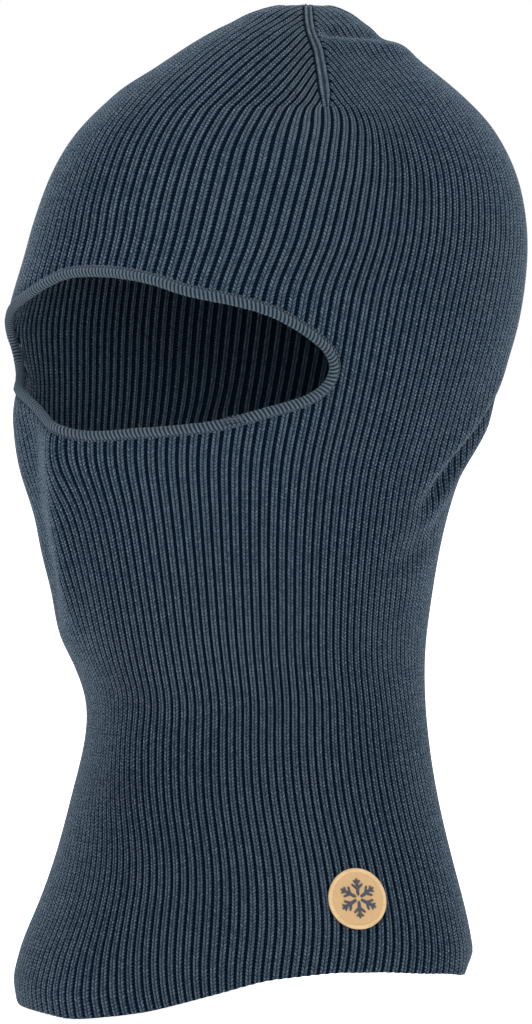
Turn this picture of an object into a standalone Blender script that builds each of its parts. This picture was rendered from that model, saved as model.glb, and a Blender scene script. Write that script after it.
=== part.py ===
# Knitted balaclava: a 1x1 rib hood with a face slit, four crown darts, a
# rolled face binding, an embroidered patch and a hinged care label.
# +Z up, the wearer looks along -Y and the wearer's left is +X.
# The origin is the middle of the footprint, at the hem.
#
# Numbers are millimetres and degrees; points and objects are in metres.
# A place on the wall is an angle from the front, positive to the wearer's
# left, and "along", the distance up the wall from the hem.

import bpy
import bmesh
import math
from mathutils import Matrix, Vector

MM = 0.001

# ------------------------------------------------------------------ dimensions
WALL = 3.0                      # relaxed thickness of the rib knit
SHIFT_X, SHIFT_Y = 0.605, 9.219  # puts the footprint's middle on the origin

# height, half width, half depth, middle (fore and aft), roundness
SECTIONS = (
    (0.0,   90.0, 72.0, -20.5, 2.14),   # hem
    (9.0,   90.0, 72.0, -20.5, 2.14),
    (20.0,  88.5, 71.6, -19.6, 2.13),
    (36.0,  84.0, 67.4, -16.6, 2.11),   # shoulder flare
    (56.0,  77.5, 62.5, -15.0, 2.09),
    (78.0,  71.0, 59.6, -14.3, 2.07),
    (102.0, 66.0, 56.6, -12.9, 2.05),   # neck
    (114.0, 64.5, 57.2, -13.7, 2.07),
    (126.0, 64.5, 62.6, -17.6, 2.08),   # under the chin
    (144.0, 66.5, 68.9, -21.6, 2.11),
    (168.0, 69.5, 75.8, -22.6, 2.15),
    (190.0, 72.5, 83.9, -21.4, 2.18),
    (208.0, 75.5, 91.4, -18.2, 2.22),   # nose
    (234.0, 80.0, 97.6, -12.2, 2.25),   # level of the face slit
    (256.0, 83.0, 101.6, -7.6, 2.25),
    (280.0, 84.0, 98.4, -1.2,  2.23),   # widest part of the head
    (304.0, 80.5, 92.8, 3.1,   2.19),
    (323.0, 71.0, 85.0, 4.9,   2.16),
    (339.0, 58.0, 68.6, 7.1,   2.12),
    (352.0, 44.0, 49.5, 8.6,   2.07),
    (361.0, 31.0, 33.0, 10.6,  2.03),
    (367.0, 18.5, 21.5, 14.2,  2.00),
    (370.0, 11.0, 13.0, 16.4,  2.00),
    (371.5, 0.0,  0.0,  18.0,  2.00),   # tip of the crown
)

# rise of the hem line round the neck: angle, height
HEM_RISE = ((-180, 6.5), (-145, 2.0), (-128, 0.0), (-16, 0.0), (0, 4.0),
            (20, 12.5), (40, 20.0), (60, 22.5), (90, 19.5), (110, 17.0),
            (140, 12.5), (180, 6.5))
HEM_BAND = 9.0                  # depth of the row of faces along the hem
HEM_RISE_FADE = 75.0            # distance above the band where the rise dies out

# face opening: angle, height of its middle, half height
OPENING = ((-58, 240.25, 9.75), (-45, 243.5, 13), (-31, 244.6, 15.8),
           (-19, 244.4, 21.6), (-9.6, 243.9, 25.9), (0, 242.55, 27.45),
           (11.7, 241.7, 25.7), (21, 240.05, 23.25), (34, 239.2, 20.4),
           (42.5, 239.1, 17.4), (51, 237.8, 13.8), (57, 236.5, 11.7),
           (61.2, 236.0, 10.6))
OPENING_MID = 1.6               # angle of its middle
OPENING_END = 59.6              # angle from its middle to each corner
OPENING_SQUARENESS = 12.0       # how square the corners are
SLIT_HEIGHT = 236.0             # height of the slit before it is pulled open
PULL_BELOW, PULL_ABOVE = 95.0, 80.0   # how far the pull reaches into the knit

# ridge of the nose, under the opening
NOSE_HEIGHT, NOSE_ANGLE, NOSE_OUT = 206.0, -7.0, 6.0
NOSE_SPREAD_ANGLE, NOSE_SPREAD_HEIGHT = 15.0, 16.0

# columns of the knit across half the opening, as shares of its half width
SIDE_STEPS = (0.12, 0.24, 0.36, 0.48, 0.60, 0.71, 0.81, 0.90, 0.965, 1.0)
STEPS = [-s for s in reversed(SIDE_STEPS)] + [0.0] + list(SIDE_STEPS)
FRONT_SPANS = len(STEPS) - 1
BACK_SPANS = 26
SPANS_BELOW, SPANS_ABOVE = 17, 17   # rows between hem band, slit and crown
CROWN_INSET = 5.0               # last row to the tip

# crown darts: name, angle, degrees it is pulled round at its foot
DART_FRONT, DART_BACK = 48.4, 133.0
DARTS = (("front_left", DART_FRONT, 5.4), ("front_right", -DART_FRONT, 0.0),
         ("back_left", DART_BACK, 0.0), ("back_right", -DART_BACK, 0.0))
DART_FOOT_HEIGHT = 330.5
DART_TIP_INSET = 8.0            # dart's upper end to the crown's tip
DART_SPANS = 18
YARN_R = 0.75
YARN_LIFT = 0.5                 # gap between the knit and the dart's yarn

CLOSURE_RING_R, CLOSURE_YARN_R, CLOSURE_LIFT = 2.4, 0.9, 1.4

# gaps are measured outward from the opening's edge, lifts off the outer face
BINDING_R, BINDING_GAP = 1.5, 1.7
CUT_EDGE_GAP = 4.3              # to the knit's cut edge
SEAM_R, SEAM_GAP, SEAM_LIFT = 0.35, 3.75, 0.95
TACK_R = 0.8
TACK_PATH = ((0.3, 1.3), (1.2, 1.6), (2.1, 1.7))   # gap, lift
TACK_COLUMN = STEPS.index(0.60)

EMBLEM_ANGLE, EMBLEM_HEIGHT = 62.0, 47.5
EMBLEM_R, EMBLEM_T = 10.6, 1.0
EMBLEM_LIFT = 0.4               # knit to the emblem's underside
GROUND_INSET = 1.5
BORDER_R, BORDER_INSET = 0.75, 0.3
MOTIF_T, MOTIF_LIFT = 0.5, 0.3  # lift is above the ground's face
BACKING_T, BACKING_INSET = 0.6, 0.5
BACKING_GAP = 1.8               # knit's inner face to the backing's middle

# one side of a star arm: distance from the centre, width in half bars
STAR_ARM_SIDE = ((1.35, -1.0), (2.9, -1.0), (4.6, -4.0),
                 (5.3, -3.1), (4.25, -1.0), (7.2, -1.0))
STAR_ARMS = 6
STAR_HALF_BAR = 0.55

BACK_SEAM_HEIGHTS = (60.0, 330.0)
BACK_SEAM_R, BACK_SEAM_GAP, BACK_SEAM_SPANS = 0.55, 1.0, 40

LABEL_W, LABEL_L, LABEL_T = 26.0, 34.0, 0.8
LABEL_TOP = 52.0                # height of the label's sewn edge
LABEL_GAP = 2.2                 # label's middle to the knit's inner face
LABEL_EDGE, TAB_EDGE = 0.15, 0.12    # bevel widths
TAB_W, TAB_L, TAB_T = 14.0, 12.0, 0.6
TAB_GAP = 0.3                   # label to tab
STITCH_R, STITCH_RISE = 0.45, 2.2
STITCH_SPANS = 13


# --------------------------------------------------------------- interpolation
class MonotoneCurve:
    """Monotone cubic through the points (Fritsch and Carlson), held at the ends."""

    def __init__(self, xs, ys):
        self.xs, self.ys = xs, ys
        gaps = [b - a for a, b in zip(xs, xs[1:])]
        rates = [(b - a) / gap for a, b, gap in zip(ys, ys[1:], gaps)]
        self.slopes = [rates[0]] + [0.0] * (len(xs) - 2) + [rates[-1]]
        for i in range(1, len(xs) - 1):
            if rates[i - 1] * rates[i] > 0.0:
                w0 = 2 * gaps[i] + gaps[i - 1]
                w1 = gaps[i] + 2 * gaps[i - 1]
                self.slopes[i] = (w0 + w1) / (w0 / rates[i - 1] + w1 / rates[i])

    def __call__(self, x):
        xs, ys, slopes = self.xs, self.ys, self.slopes
        x = min(max(x, xs[0]), xs[-1])
        i = 0
        while i < len(xs) - 2 and x > xs[i + 1]:
            i += 1
        gap = xs[i + 1] - xs[i]
        t = (x - xs[i]) / gap
        return (ys[i] * (1 + 2 * t) * (1 - t) ** 2
                + slopes[i] * gap * t * (1 - t) ** 2
                + ys[i + 1] * t * t * (3 - 2 * t)
                + slopes[i + 1] * gap * t * t * (t - 1))


def smooth(t):
    t = min(max(t, 0.0), 1.0)
    return t * t * (3 - 2 * t)


def wrapped(angle):
    return ((angle + 180) % 360) - 180


# ------------------------------------------------------------- surface of the knit
def distances_along():
    """Distance from the hem to each section, by height and mean radius."""
    along = [0.0]
    for low, high in zip(SECTIONS, SECTIONS[1:]):
        growth = (high[1] + high[2]) / 2 - (low[1] + low[2]) / 2
        along.append(along[-1] + math.hypot(high[0] - low[0], growth))
    return along


ALONG = distances_along()
TIP = ALONG[-1]
height_at, half_width_at, half_depth_at, middle_at, roundness_at = (
    MonotoneCurve(ALONG, column) for column in zip(*SECTIONS))
along_at_height = MonotoneCurve([section[0] for section in SECTIONS], ALONG)
SLIT = along_at_height(SLIT_HEIGHT)
hem_rise_at = MonotoneCurve(*zip(*HEM_RISE))
_angles, _middles, _halves = zip(*OPENING)
opening_middle_at = MonotoneCurve(_angles, _middles)
opening_half_at = MonotoneCurve(_angles, _halves)


def wall_point(angle, along):
    """Point on the outer face: a superellipse, with the nose pushed forward."""
    sine, cosine = math.sin(math.radians(angle)), math.cos(math.radians(angle))
    power = 2 / roundness_at(along)
    x = half_width_at(along) * math.copysign(abs(sine) ** power, sine)
    y = -half_depth_at(along) * math.copysign(abs(cosine) ** power, cosine)
    z = height_at(along)
    y -= (NOSE_OUT
          * math.exp(-((wrapped(angle) - NOSE_ANGLE) / NOSE_SPREAD_ANGLE) ** 2)
          * math.exp(-((z - NOSE_HEIGHT) / NOSE_SPREAD_HEIGHT) ** 2))
    return Vector((x + SHIFT_X, y + middle_at(along) + SHIFT_Y, z)) * MM


def wall_frame(angle, along):
    """Outward normal, and the direction up the wall."""
    step = 0.4
    around = (wall_point(angle + step, along) - wall_point(angle - step, along)).normalized()
    above = wall_point(angle, min(along + step, TIP - 0.01))
    upward = (above - wall_point(angle, along - step)).normalized()
    return around.cross(upward).normalized(), upward


def wall_off(angle, along, lift):
    """Point lifted off the outer face; a negative lift goes inward."""
    return wall_point(angle, along) + wall_frame(angle, along)[0] * (lift * MM)


def opening_loop(gap):
    """Face opening widened by gap, as (angle, along) pairs.

    It runs from the right corner to the left along the top, then back below.
    """
    stations = []
    for s in STEPS:
        angle = OPENING_MID + OPENING_END * s
        squared = math.sqrt(max(0.0, 1 - abs(s) ** OPENING_SQUARENESS))
        stations.append((angle, opening_middle_at(angle), opening_half_at(angle) * squared))
    ring = [(a, along_at_height(mid + half)) for a, mid, half in stations]
    ring += [(a, along_at_height(mid - half)) for a, mid, half in reversed(stations[1:-1])]
    mm_per_degree = [(wall_point(a + 0.5, v) - wall_point(a - 0.5, v)).length / MM
                     for a, v in ring]

    def edge_normal(start, end, scale):
        across, rise = (end[0] - start[0]) * scale, end[1] - start[1]
        length = math.hypot(across, rise)
        return -rise / length, across / length

    widened = []
    for i, (angle, along) in enumerate(ring):
        scale = mm_per_degree[i]
        before = edge_normal(ring[i - 1], ring[i], scale)
        after = edge_normal(ring[i], ring[(i + 1) % len(ring)], scale)
        # mitre, limited at sharp corners
        mitre = gap / max(0.55, 1 + before[0] * after[0] + before[1] * after[1])
        widened.append((angle + (before[0] + after[0]) * mitre / scale,
                        along + (before[1] + after[1]) * mitre))
    return widened


# ------------------------------------------------------------------ scene helpers
def material(name, color, roughness):
    mat = bpy.data.materials.new(name)
    mat.use_nodes = True
    shader = mat.node_tree.nodes["Principled BSDF"]
    shader.inputs["Base Color"].default_value = (*color, 1.0)
    shader.inputs["Roughness"].default_value = roughness
    return mat


def place_in_collection(obj):
    for other in list(obj.users_collection):
        other.objects.unlink(obj)
    collection.objects.link(obj)
    return obj


def add_object(name, data, mat):
    data.materials.append(mat)
    return place_in_collection(bpy.data.objects.new(name, data))


def take_primitive(name, mat):
    """Name and file away the primitive an operator has just made."""
    obj = bpy.context.object
    obj.name = name
    obj.data.name = name
    obj.data.materials.append(mat)
    return place_in_collection(obj)


def poly_curve(name, points, closed):
    curve = bpy.data.curves.new(name, 'CURVE')
    spline = curve.splines.new('POLY')
    spline.points.add(len(points) - 1)
    for target, point in zip(spline.points, points):
        target.co = (*point, 1.0)
    spline.use_cyclic_u = closed
    return curve


def tube(name, points, radius, mat, closed=False, resolution=2):
    """A yarn or a thread: a poly curve with a round section."""
    curve = poly_curve(name, points, closed)
    curve.dimensions = '3D'
    curve.bevel_depth = radius * MM
    curve.bevel_resolution = resolution
    curve.use_fill_caps = True
    add_object(name, curve, mat)


# ------------------------------------------------------------------ knit body
def build_knit_body():
    edge = opening_loop(CUT_EDGE_GAP)
    top = edge[:FRONT_SPANS + 1]
    bottom = [edge[0]] + list(reversed(edge[FRONT_SPANS + 1:])) + [edge[FRONT_SPANS]]
    angles = [OPENING_MID + OPENING_END * s for s in STEPS]
    back_step = (360 - 2 * OPENING_END) / BACK_SPANS
    angles += [OPENING_MID + OPENING_END + back_step * i for i in range(1, BACK_SPANS)]
    count = len(angles)
    mesh_builder = bmesh.new()

    def add_vertex(i, along, edge_side, reach):
        """Vertex of column i; near the slit the front columns follow the opening."""
        angle = angles[i]
        fade = 1 - smooth((along - HEM_BAND) / HEM_RISE_FADE)
        target = along + hem_rise_at(wrapped(angle)) * fade
        if i <= FRONT_SPANS:
            edge_angle, edge_along = edge_side[i]
            pull = 1 - smooth(abs(along - SLIT) / reach)
            angle += (edge_angle - angle) * pull
            target += (edge_along - SLIT) * pull
        return mesh_builder.verts.new(wall_point(angle, target))

    def add_row(along, edge_side, reach):
        return [add_vertex(i, along, edge_side, reach) for i in range(count)]

    below = [0.0] + [HEM_BAND + (SLIT - HEM_BAND) * i / SPANS_BELOW
                     for i in range(SPANS_BELOW)] + [SLIT]
    above = [SLIT + (TIP - CROWN_INSET - SLIT) * (i / SPANS_ABOVE)
             for i in range(1, SPANS_ABOVE + 1)]
    lower_rows = [add_row(along, bottom, PULL_BELOW) for along in below]
    # the slit's upper edge shares its corners and the back with the lower one
    slit_top = list(lower_rows[-1])
    for i in range(1, FRONT_SPANS):
        slit_top[i] = add_vertex(i, SLIT, top, PULL_ABOVE)
    upper_rows = [slit_top] + [add_row(along, top, PULL_ABOVE) for along in above]

    for rows in (lower_rows, upper_rows):
        for low, high in zip(rows, rows[1:]):
            for i in range(count):
                j = (i + 1) % count
                mesh_builder.faces.new((low[i], low[j], high[j], high[i]))
    tip = mesh_builder.verts.new(wall_point(0.0, TIP))
    last = upper_rows[-1]
    for i in range(count):
        mesh_builder.faces.new((last[i], last[(i + 1) % count], tip))

    mesh = bpy.data.meshes.new("knit_body")
    mesh_builder.to_mesh(mesh)
    mesh_builder.free()
    mesh.shade_smooth()
    body = add_object("knit_body", mesh, MAT_KNIT)
    wall = body.modifiers.new("wall", 'SOLIDIFY')
    wall.thickness = WALL * MM
    wall.offset = -1.0
    wall.use_rim = True


# ------------------------------------------------------------------ crown and back
def build_crown_seams():
    foot = along_at_height(DART_FOOT_HEIGHT)
    length = TIP - DART_TIP_INSET - foot
    for name, angle, lean in DARTS:
        points = []
        for k in range(DART_SPANS + 1):
            share = k / DART_SPANS
            # the lean eases to 35 % of itself between 25 % and 90 % of the way up
            turn = lean * (1.0 - 0.65 * smooth((share - 0.25) / 0.65))
            points.append(wall_off(angle + turn, foot + length * share, YARN_R + YARN_LIFT))
        tube("crown_seam_" + name, points, YARN_R, MAT_SEAM)


def build_crown_closure():
    bpy.ops.mesh.primitive_torus_add(
        major_segments=24, minor_segments=8,
        major_radius=CLOSURE_RING_R * MM, minor_radius=CLOSURE_YARN_R * MM,
        location=wall_point(0.0, TIP) + Vector((0, 0, CLOSURE_LIFT * MM)))
    take_primitive("crown_closure", MAT_SEAM)


def build_back_seam():
    """Seam down the inside of the back."""
    start, end = (along_at_height(height) for height in BACK_SEAM_HEIGHTS)
    points = [wall_off(180.0, start + (end - start) * k / BACK_SEAM_SPANS,
                       -WALL - BACK_SEAM_GAP)
              for k in range(BACK_SEAM_SPANS + 1)]
    tube("back_seam", points, BACK_SEAM_R, MAT_SEAM, resolution=1)


# ------------------------------------------------------------------ face binding
def build_face_binding():
    roll = [wall_off(a, v, -WALL / 2) for a, v in opening_loop(BINDING_GAP)]
    tube("face_binding", roll, BINDING_R, MAT_BINDING, closed=True, resolution=3)
    seam = [wall_off(a, v, SEAM_LIFT) for a, v in opening_loop(SEAM_GAP)]
    tube("face_binding_seam", seam, SEAM_R, MAT_SEAM, closed=True, resolution=1)

    # the tack where the binding's two ends meet, on the lower edge at the left
    index = 2 * FRONT_SPANS - TACK_COLUMN
    tack = [wall_off(*opening_loop(gap)[index], lift) for gap, lift in TACK_PATH]
    tube("face_binding_join", tack, TACK_R, MAT_BINDING)


# ------------------------------------------------------------------ emblem
def emblem_matrix(lift):
    """Frame of the patch: X across, Y up the wall, Z outward."""
    along = along_at_height(EMBLEM_HEIGHT)
    normal, upward = wall_frame(EMBLEM_ANGLE, along)
    up = (upward - normal * upward.dot(normal)).normalized()
    matrix = Matrix((up.cross(normal).normalized(), up, normal)).transposed().to_4x4()
    matrix.translation = wall_off(EMBLEM_ANGLE, along, lift)
    return matrix


def flat_piece(name, outline, thickness, lift, mat):
    """A filled outline in the patch's plane; lift is to its middle."""
    curve = poly_curve(name, [(x * MM, y * MM, 0.0) for x, y in outline], True)
    curve.dimensions = '2D'
    curve.fill_mode = 'BOTH'
    curve.extrude = thickness * MM / 2
    add_object(name, curve, mat).matrix_world = emblem_matrix(lift)


def circle(radius, count=40):
    turns = [2 * math.pi * k / count for k in range(count)]
    return [(radius * math.cos(t), radius * math.sin(t)) for t in turns]


def star_outline():
    """Six-armed snow star, one closed outline."""
    arm = STAR_ARM_SIDE + tuple((r, -width) for r, width in reversed(STAR_ARM_SIDE))
    outline = []
    for k in range(STAR_ARMS):
        turn = math.radians(360 / STAR_ARMS * k + 90)
        x, y = math.cos(turn), math.sin(turn)
        for r, width in arm:
            aside = width * STAR_HALF_BAR
            outline.append((x * r - y * aside, y * r + x * aside))
    return outline


def build_emblem():
    flat_piece("emblem_ground", circle(EMBLEM_R - GROUND_INSET), EMBLEM_T,
               EMBLEM_LIFT + EMBLEM_T / 2, MAT_GROUND)
    frame = emblem_matrix(EMBLEM_LIFT + BORDER_R)
    border = [frame @ Vector((x * MM, y * MM, 0))
              for x, y in circle(EMBLEM_R - BORDER_INSET, 48)]
    tube("emblem_border", border, BORDER_R, MAT_BORDER, closed=True)
    flat_piece("emblem_motif", star_outline(), MOTIF_T,
               EMBLEM_LIFT + EMBLEM_T + MOTIF_LIFT + MOTIF_T / 2, MAT_MOTIF)
    flat_piece("emblem_backing", circle(EMBLEM_R - BACKING_INSET), BACKING_T,
               -WALL - BACKING_GAP, MAT_BACKING)


# ------------------------------------------------------------------ care label
def label_piece(name, hinge, size, y, edge):
    """A bevelled slab hanging from the hinge, its middle at y from it."""
    width, thickness, length = size
    bpy.ops.mesh.primitive_cube_add(size=1.0)
    piece = take_primitive(name, MAT_LABEL)
    for vertex in piece.data.vertices:
        co = vertex.co
        vertex.co = Vector((co.x * width, co.y * thickness + y, (co.z - 0.5) * length)) * MM
    piece.parent = hinge
    bevel = piece.modifiers.new("edge", 'BEVEL')
    bevel.width = edge * MM
    bevel.segments = 2


def build_care_label():
    """Label and size tab inside the back, hinged on their sewn edge."""
    inner_y = min(wall_off(angle, along_at_height(height), -WALL).y
                  for angle in (170, 175, 180) for height in (20.0, 30.0, 40.0, 51.0))
    label_y = inner_y - LABEL_GAP * MM
    hinge = place_in_collection(bpy.data.objects.new("care_label_hinge", None))
    hinge.location = (0.0, label_y, LABEL_TOP * MM)
    label_piece("care_label", hinge, (LABEL_W, LABEL_T, LABEL_L), 0.0, LABEL_EDGE)
    label_piece("size_tab", hinge, (TAB_W, TAB_T, TAB_L),
                -(LABEL_T / 2 + TAB_GAP + TAB_T / 2), TAB_EDGE)

    # the stitched line that holds the label to the knit, just above its edge
    stitches = [Vector((LABEL_W * (k / STITCH_SPANS - 0.5) * MM, label_y,
                        (LABEL_TOP + STITCH_RISE) * MM))
                for k in range(STITCH_SPANS + 1)]
    tube("label_stitching", stitches, STITCH_R, MAT_SEAM, resolution=1)


# ------------------------------------------------------------------ build
for old in list(bpy.data.objects):
    bpy.data.objects.remove(old, do_unlink=True)
collection = bpy.data.collections.new("balaclava")
bpy.context.scene.collection.children.link(collection)

MAT_KNIT = material("navy_rib_knit", color=(0.022, 0.028, 0.042), roughness=0.92)
MAT_SEAM = material("navy_linking_yarn", color=(0.030, 0.036, 0.052), roughness=0.90)
MAT_BINDING = material("navy_binding_knit", color=(0.026, 0.032, 0.048), roughness=0.92)
MAT_GROUND = material("tan_embroidery_thread", color=(0.40, 0.27, 0.15), roughness=0.60)
MAT_BORDER = material("light_tan_satin_thread", color=(0.52, 0.38, 0.24), roughness=0.55)
MAT_MOTIF = material("navy_embroidery_thread", color=(0.035, 0.040, 0.060), roughness=0.60)
MAT_BACKING = material("stabiliser_felt", color=(0.10, 0.10, 0.11), roughness=0.95)
MAT_LABEL = material("white_label_ribbon", color=(0.75, 0.75, 0.73), roughness=0.65)

build_knit_body()
build_crown_seams()
build_crown_closure()
build_face_binding()
build_emblem()
build_back_seam()
build_care_label()
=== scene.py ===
# A knitted balaclava: a ribbed hood with a rolled face binding, crown darts, an
# embroidered patch and a care label. It stands upright with its hem near z = 0,
# the face towards -Y and the wearer's left towards +X. Lengths are in mm until a
# mesh is made; the studio is in metres.
#
# A place on the hood is given by
#   turn  share of the way round, 0 at the front, + to the wearer's left, 0.5 behind
#   up    distance up the wall from the hem plane
#   out   distance outward from the wall
# Angles round the form are in degrees, with the same zero and sense as turn.
import bpy
import math
import numpy as np
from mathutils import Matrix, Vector


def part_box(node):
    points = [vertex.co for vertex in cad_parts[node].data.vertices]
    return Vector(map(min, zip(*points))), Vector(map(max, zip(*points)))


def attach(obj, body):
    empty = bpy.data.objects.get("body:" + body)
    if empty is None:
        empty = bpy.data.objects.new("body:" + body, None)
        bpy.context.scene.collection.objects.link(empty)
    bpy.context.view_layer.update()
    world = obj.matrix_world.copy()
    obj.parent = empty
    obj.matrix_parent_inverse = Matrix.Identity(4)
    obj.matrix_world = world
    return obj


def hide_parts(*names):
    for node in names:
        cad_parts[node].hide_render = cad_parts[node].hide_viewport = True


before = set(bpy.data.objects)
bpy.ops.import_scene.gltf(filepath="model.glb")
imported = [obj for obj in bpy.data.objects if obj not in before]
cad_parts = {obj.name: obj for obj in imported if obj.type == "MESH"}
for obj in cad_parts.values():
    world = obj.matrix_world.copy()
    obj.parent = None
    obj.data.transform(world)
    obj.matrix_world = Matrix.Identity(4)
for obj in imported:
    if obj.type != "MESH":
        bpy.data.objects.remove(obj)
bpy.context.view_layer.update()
MM = 0.001
DETAIL = 1.0             # share of the full mesh rows

# ---------------------------------------------------------------- the hood's form
# height, half width, half depth, middle fore and aft, exponent of the oval
SECTIONS = np.array((
    (0.0,   90.0, 72.0, -20.5, 2.14), (9.0,   90.0, 72.0, -20.5, 2.14),
    (20.0,  88.5, 71.6, -19.6, 2.13), (36.0,  84.0, 67.4, -16.6, 2.11),
    (56.0,  77.5, 62.5, -15.0, 2.09), (78.0,  71.0, 59.6, -14.3, 2.07),
    (102.0, 66.0, 56.6, -12.9, 2.05), (114.0, 64.5, 57.2, -13.7, 2.07),
    (126.0, 64.5, 62.6, -17.6, 2.08), (144.0, 66.5, 68.9, -21.6, 2.11),
    (168.0, 69.5, 75.8, -22.6, 2.15), (190.0, 72.5, 83.9, -21.4, 2.18),
    (208.0, 75.5, 91.4, -18.2, 2.22), (234.0, 80.0, 97.6, -12.2, 2.25),
    (256.0, 83.0, 101.6, -7.6, 2.25), (280.0, 84.0, 98.4, -1.2,  2.23),
    (304.0, 80.5, 92.8, 3.1,   2.19), (323.0, 71.0, 85.0, 4.9,   2.16),
    (339.0, 58.0, 68.6, 7.1,   2.12), (352.0, 44.0, 49.5, 8.6,   2.07),
    (361.0, 31.0, 33.0, 10.6,  2.03), (367.0, 18.5, 21.5, 14.2,  2.00),
    (370.0, 11.0, 13.0, 16.4,  2.00), (371.5, 0.0,  0.0,  18.0,  2.00)))
SHIFT_X, SHIFT_Y = 0.605, 9.219             # moves the form onto the frame
NOSE_HEIGHT, NOSE_REACH, NOSE_ANGLE = 206.0, 6.0, -7.0
NOSE_HALF_ANGLE, NOSE_HALF_HEIGHT = 15.0, 16.0
# angle, rise of the hem
HEM_RISE = np.array((
    (-180, 6.5), (-145, 2.0), (-128, 0.0), (-20, 0.4), (-6, 3.9), (6, 8.4), (20, 14.0),
    (40, 21.0), (60, 23.2), (90, 19.6), (110, 16.4), (140, 12.5), (180, 6.5)))
HEM_UP = 4.0                                # where the hem's angles are taken
# angle, middle height of the face opening, half its height
OPENING = np.array((
    (-58, 240.25, 9.75), (-45, 243.5, 13), (-31, 244.6, 15.8), (-19, 244.4, 21.6),
    (-9.6, 243.9, 25.9), (0, 242.55, 27.45), (11.7, 241.7, 25.7), (21, 240.05, 23.25),
    (34, 239.2, 20.4), (42.5, 239.1, 17.4), (51, 237.8, 13.8), (57, 236.5, 11.7),
    (61.2, 236.0, 10.6)))
SLIT_HEIGHT = 236.0                         # the course that parts at the opening
OPENING_GAP = 2.3                           # opening's outline to the knit's edge
DART_HEIGHT = 330.5                         # the feet of the crown darts

# creases: from angle and height, to angle and height, width, depth
FOLDS = (
    (128, 226, 100, 190, 4.5, 2.6), (112, 182, 92, 166, 6.0, 1.0),          # back left
    (-132, 214, -104, 184, 5.5, 2.2), (-118, 176, -96, 158, 6.5, 1.0),      # back right
    (-44, 128, -4, 118, 8.0, 0.5), (22, 128, 58, 138, 9.0, 0.5))            # under the chin
FOLD_ARC = 1.45                             # mm round the form per degree
# soft swellings of the right cheek: out, angle, its spread, height, its spread
DENTS = ((-1.3, -56.0, 16.0, 184.0, 13.0), (1.9, -56.0, 18.0, 251.0, 10.0),
         (-1.9, -50.0, 16.0, 230.0, 7.0), (1.0, -52.0, 16.0, 140.0, 9.0))
# broad bands: out, angle, its spread, foot, length of rise, top, length of fall
BANDS = ((-1.4, -56.0, 40.0, 338.0, 12.0, 371.0, 5.0),     # crown, front right
         (1.7, 124.0, 48.0, 196.0, 22.0, 352.0, 30.0),     # head, back left
         (-0.9, -56.0, 34.0, 262.0, 20.0, 352.0, 26.0))    # brow, front right

# ---------------------------------------------------------------- ribs
N_RIBS = 140
COURSE = 1.22                               # height of one row of stitches
HALF_GORES = 8                              # four gores, counted in halves
DART_TURN = 1 / HALF_GORES                  # the first dart; the rest follow each quarter
DART_PULL = 0.165                           # how strongly ribs bend towards a dart
# how far the crown's ribs stray: height, turn on the left, turn back at the front
LEANS = np.array((
    (200.0, 0.0, 0.0), (262.0, 0.0, 0.0), (283.0, 0.0065, 0.0010), (298.0, 0.0108, 0.0050),
    (313.0, 0.0172, 0.0060), (328.0, 0.0235, 0.0050), (351.0, 0.0235, 0.0030),
    (361.0, 0.0170, 0.0), (371.5, 0.0130, 0.0)))
# turn the ribs stray by, where round the hood, its spread
NECK_FLOW = ((0.014, 0.12, 0.15), (0.026, -0.01, 0.075))
HEM_FLOW = ((0.018, -0.01, 0.09), (-0.009, 0.18, 0.09), (-0.024, -0.085, 0.06))

# Ten stations across a rib: the furrow's floor, two legs and the cleft between them.
OUT_MM = np.array([-1.12, -1.02, -0.40, 0.0, -0.36, -0.72, -0.36, 0.0, -0.40, -1.02])
IN_MM = np.array([-2.72, -3.0, -2.86, -2.2, -1.98, -1.92, -1.98, -2.2, -2.86, -3.0])
OUT_ACROSS = np.array([-0.5, -0.35, -0.29, -0.19, -0.08, 0.0, 0.08, 0.19, 0.29, 0.35])
IN_ACROSS = np.array([0.0, 0.14, 0.26, 0.38, 0.47, 0.5, 0.53, 0.62, 0.74, 0.86])
OUT_SHADE = np.array([1.0, 0.85, 0.30, 0.0, 0.30, 0.60, 0.30, 0.0, 0.30, 0.85])
IN_SHADE = np.array([0.35, 0.0, 0.2, 0.85, 1.0, 1.0, 1.0, 0.85, 0.2, 0.0])
# Half of a dart's pair of strands, from its furrow outwards:
# share of the half width, height outside, shade, texture across, height inside
STRAND = np.array((
    (0.0, -1.45, 1.0, 0.0, -2.5), (0.13, -1.30, 0.95, 0.04, -2.6),
    (0.26, -0.45, 0.5, 0.09, -2.8), (0.40, -0.05, 0.1, 0.14, -2.95),
    (0.54, 0.10, 0.0, 0.20, -3.0), (0.68, 0.02, 0.0, 0.25, -2.95),
    (0.81, -0.22, 0.25, 0.30, -2.8), (0.92, -0.60, 0.65, 0.37, -2.75),
    (1.0, -1.1, 1.0, 0.5, -2.72)))


# ---------------------------------------------------------------- curves
def pchip(xs, ys):
    """Smooth curve through the points that does not overshoot them."""
    step = np.diff(xs)
    slope = np.diff(ys) / step
    tangent = np.zeros(len(xs))
    tangent[0], tangent[-1] = slope[0], slope[-1]
    for i in range(1, len(xs) - 1):
        if slope[i - 1] * slope[i] > 0:
            before, after = 2 * step[i] + step[i - 1], step[i] + 2 * step[i - 1]
            tangent[i] = (before + after) / (before / slope[i - 1] + after / slope[i])

    def curve(x):
        x = np.clip(x, xs[0], xs[-1])
        i = np.clip(np.searchsorted(xs, x, side='right') - 1, 0, len(xs) - 2)
        width = step[i]
        t = (x - xs[i]) / width
        return (ys[i] * (1 + 2 * t) * (1 - t) ** 2 + tangent[i] * width * t * (1 - t) ** 2
                + ys[i + 1] * t * t * (3 - 2 * t) + tangent[i + 1] * width * t * t * (t - 1))
    return curve


def smooth(t):
    """Eased step from 0 to 1 as t goes from 0 to 1."""
    t = np.clip(t, 0.0, 1.0)
    return t * t * (3 - 2 * t)


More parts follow.
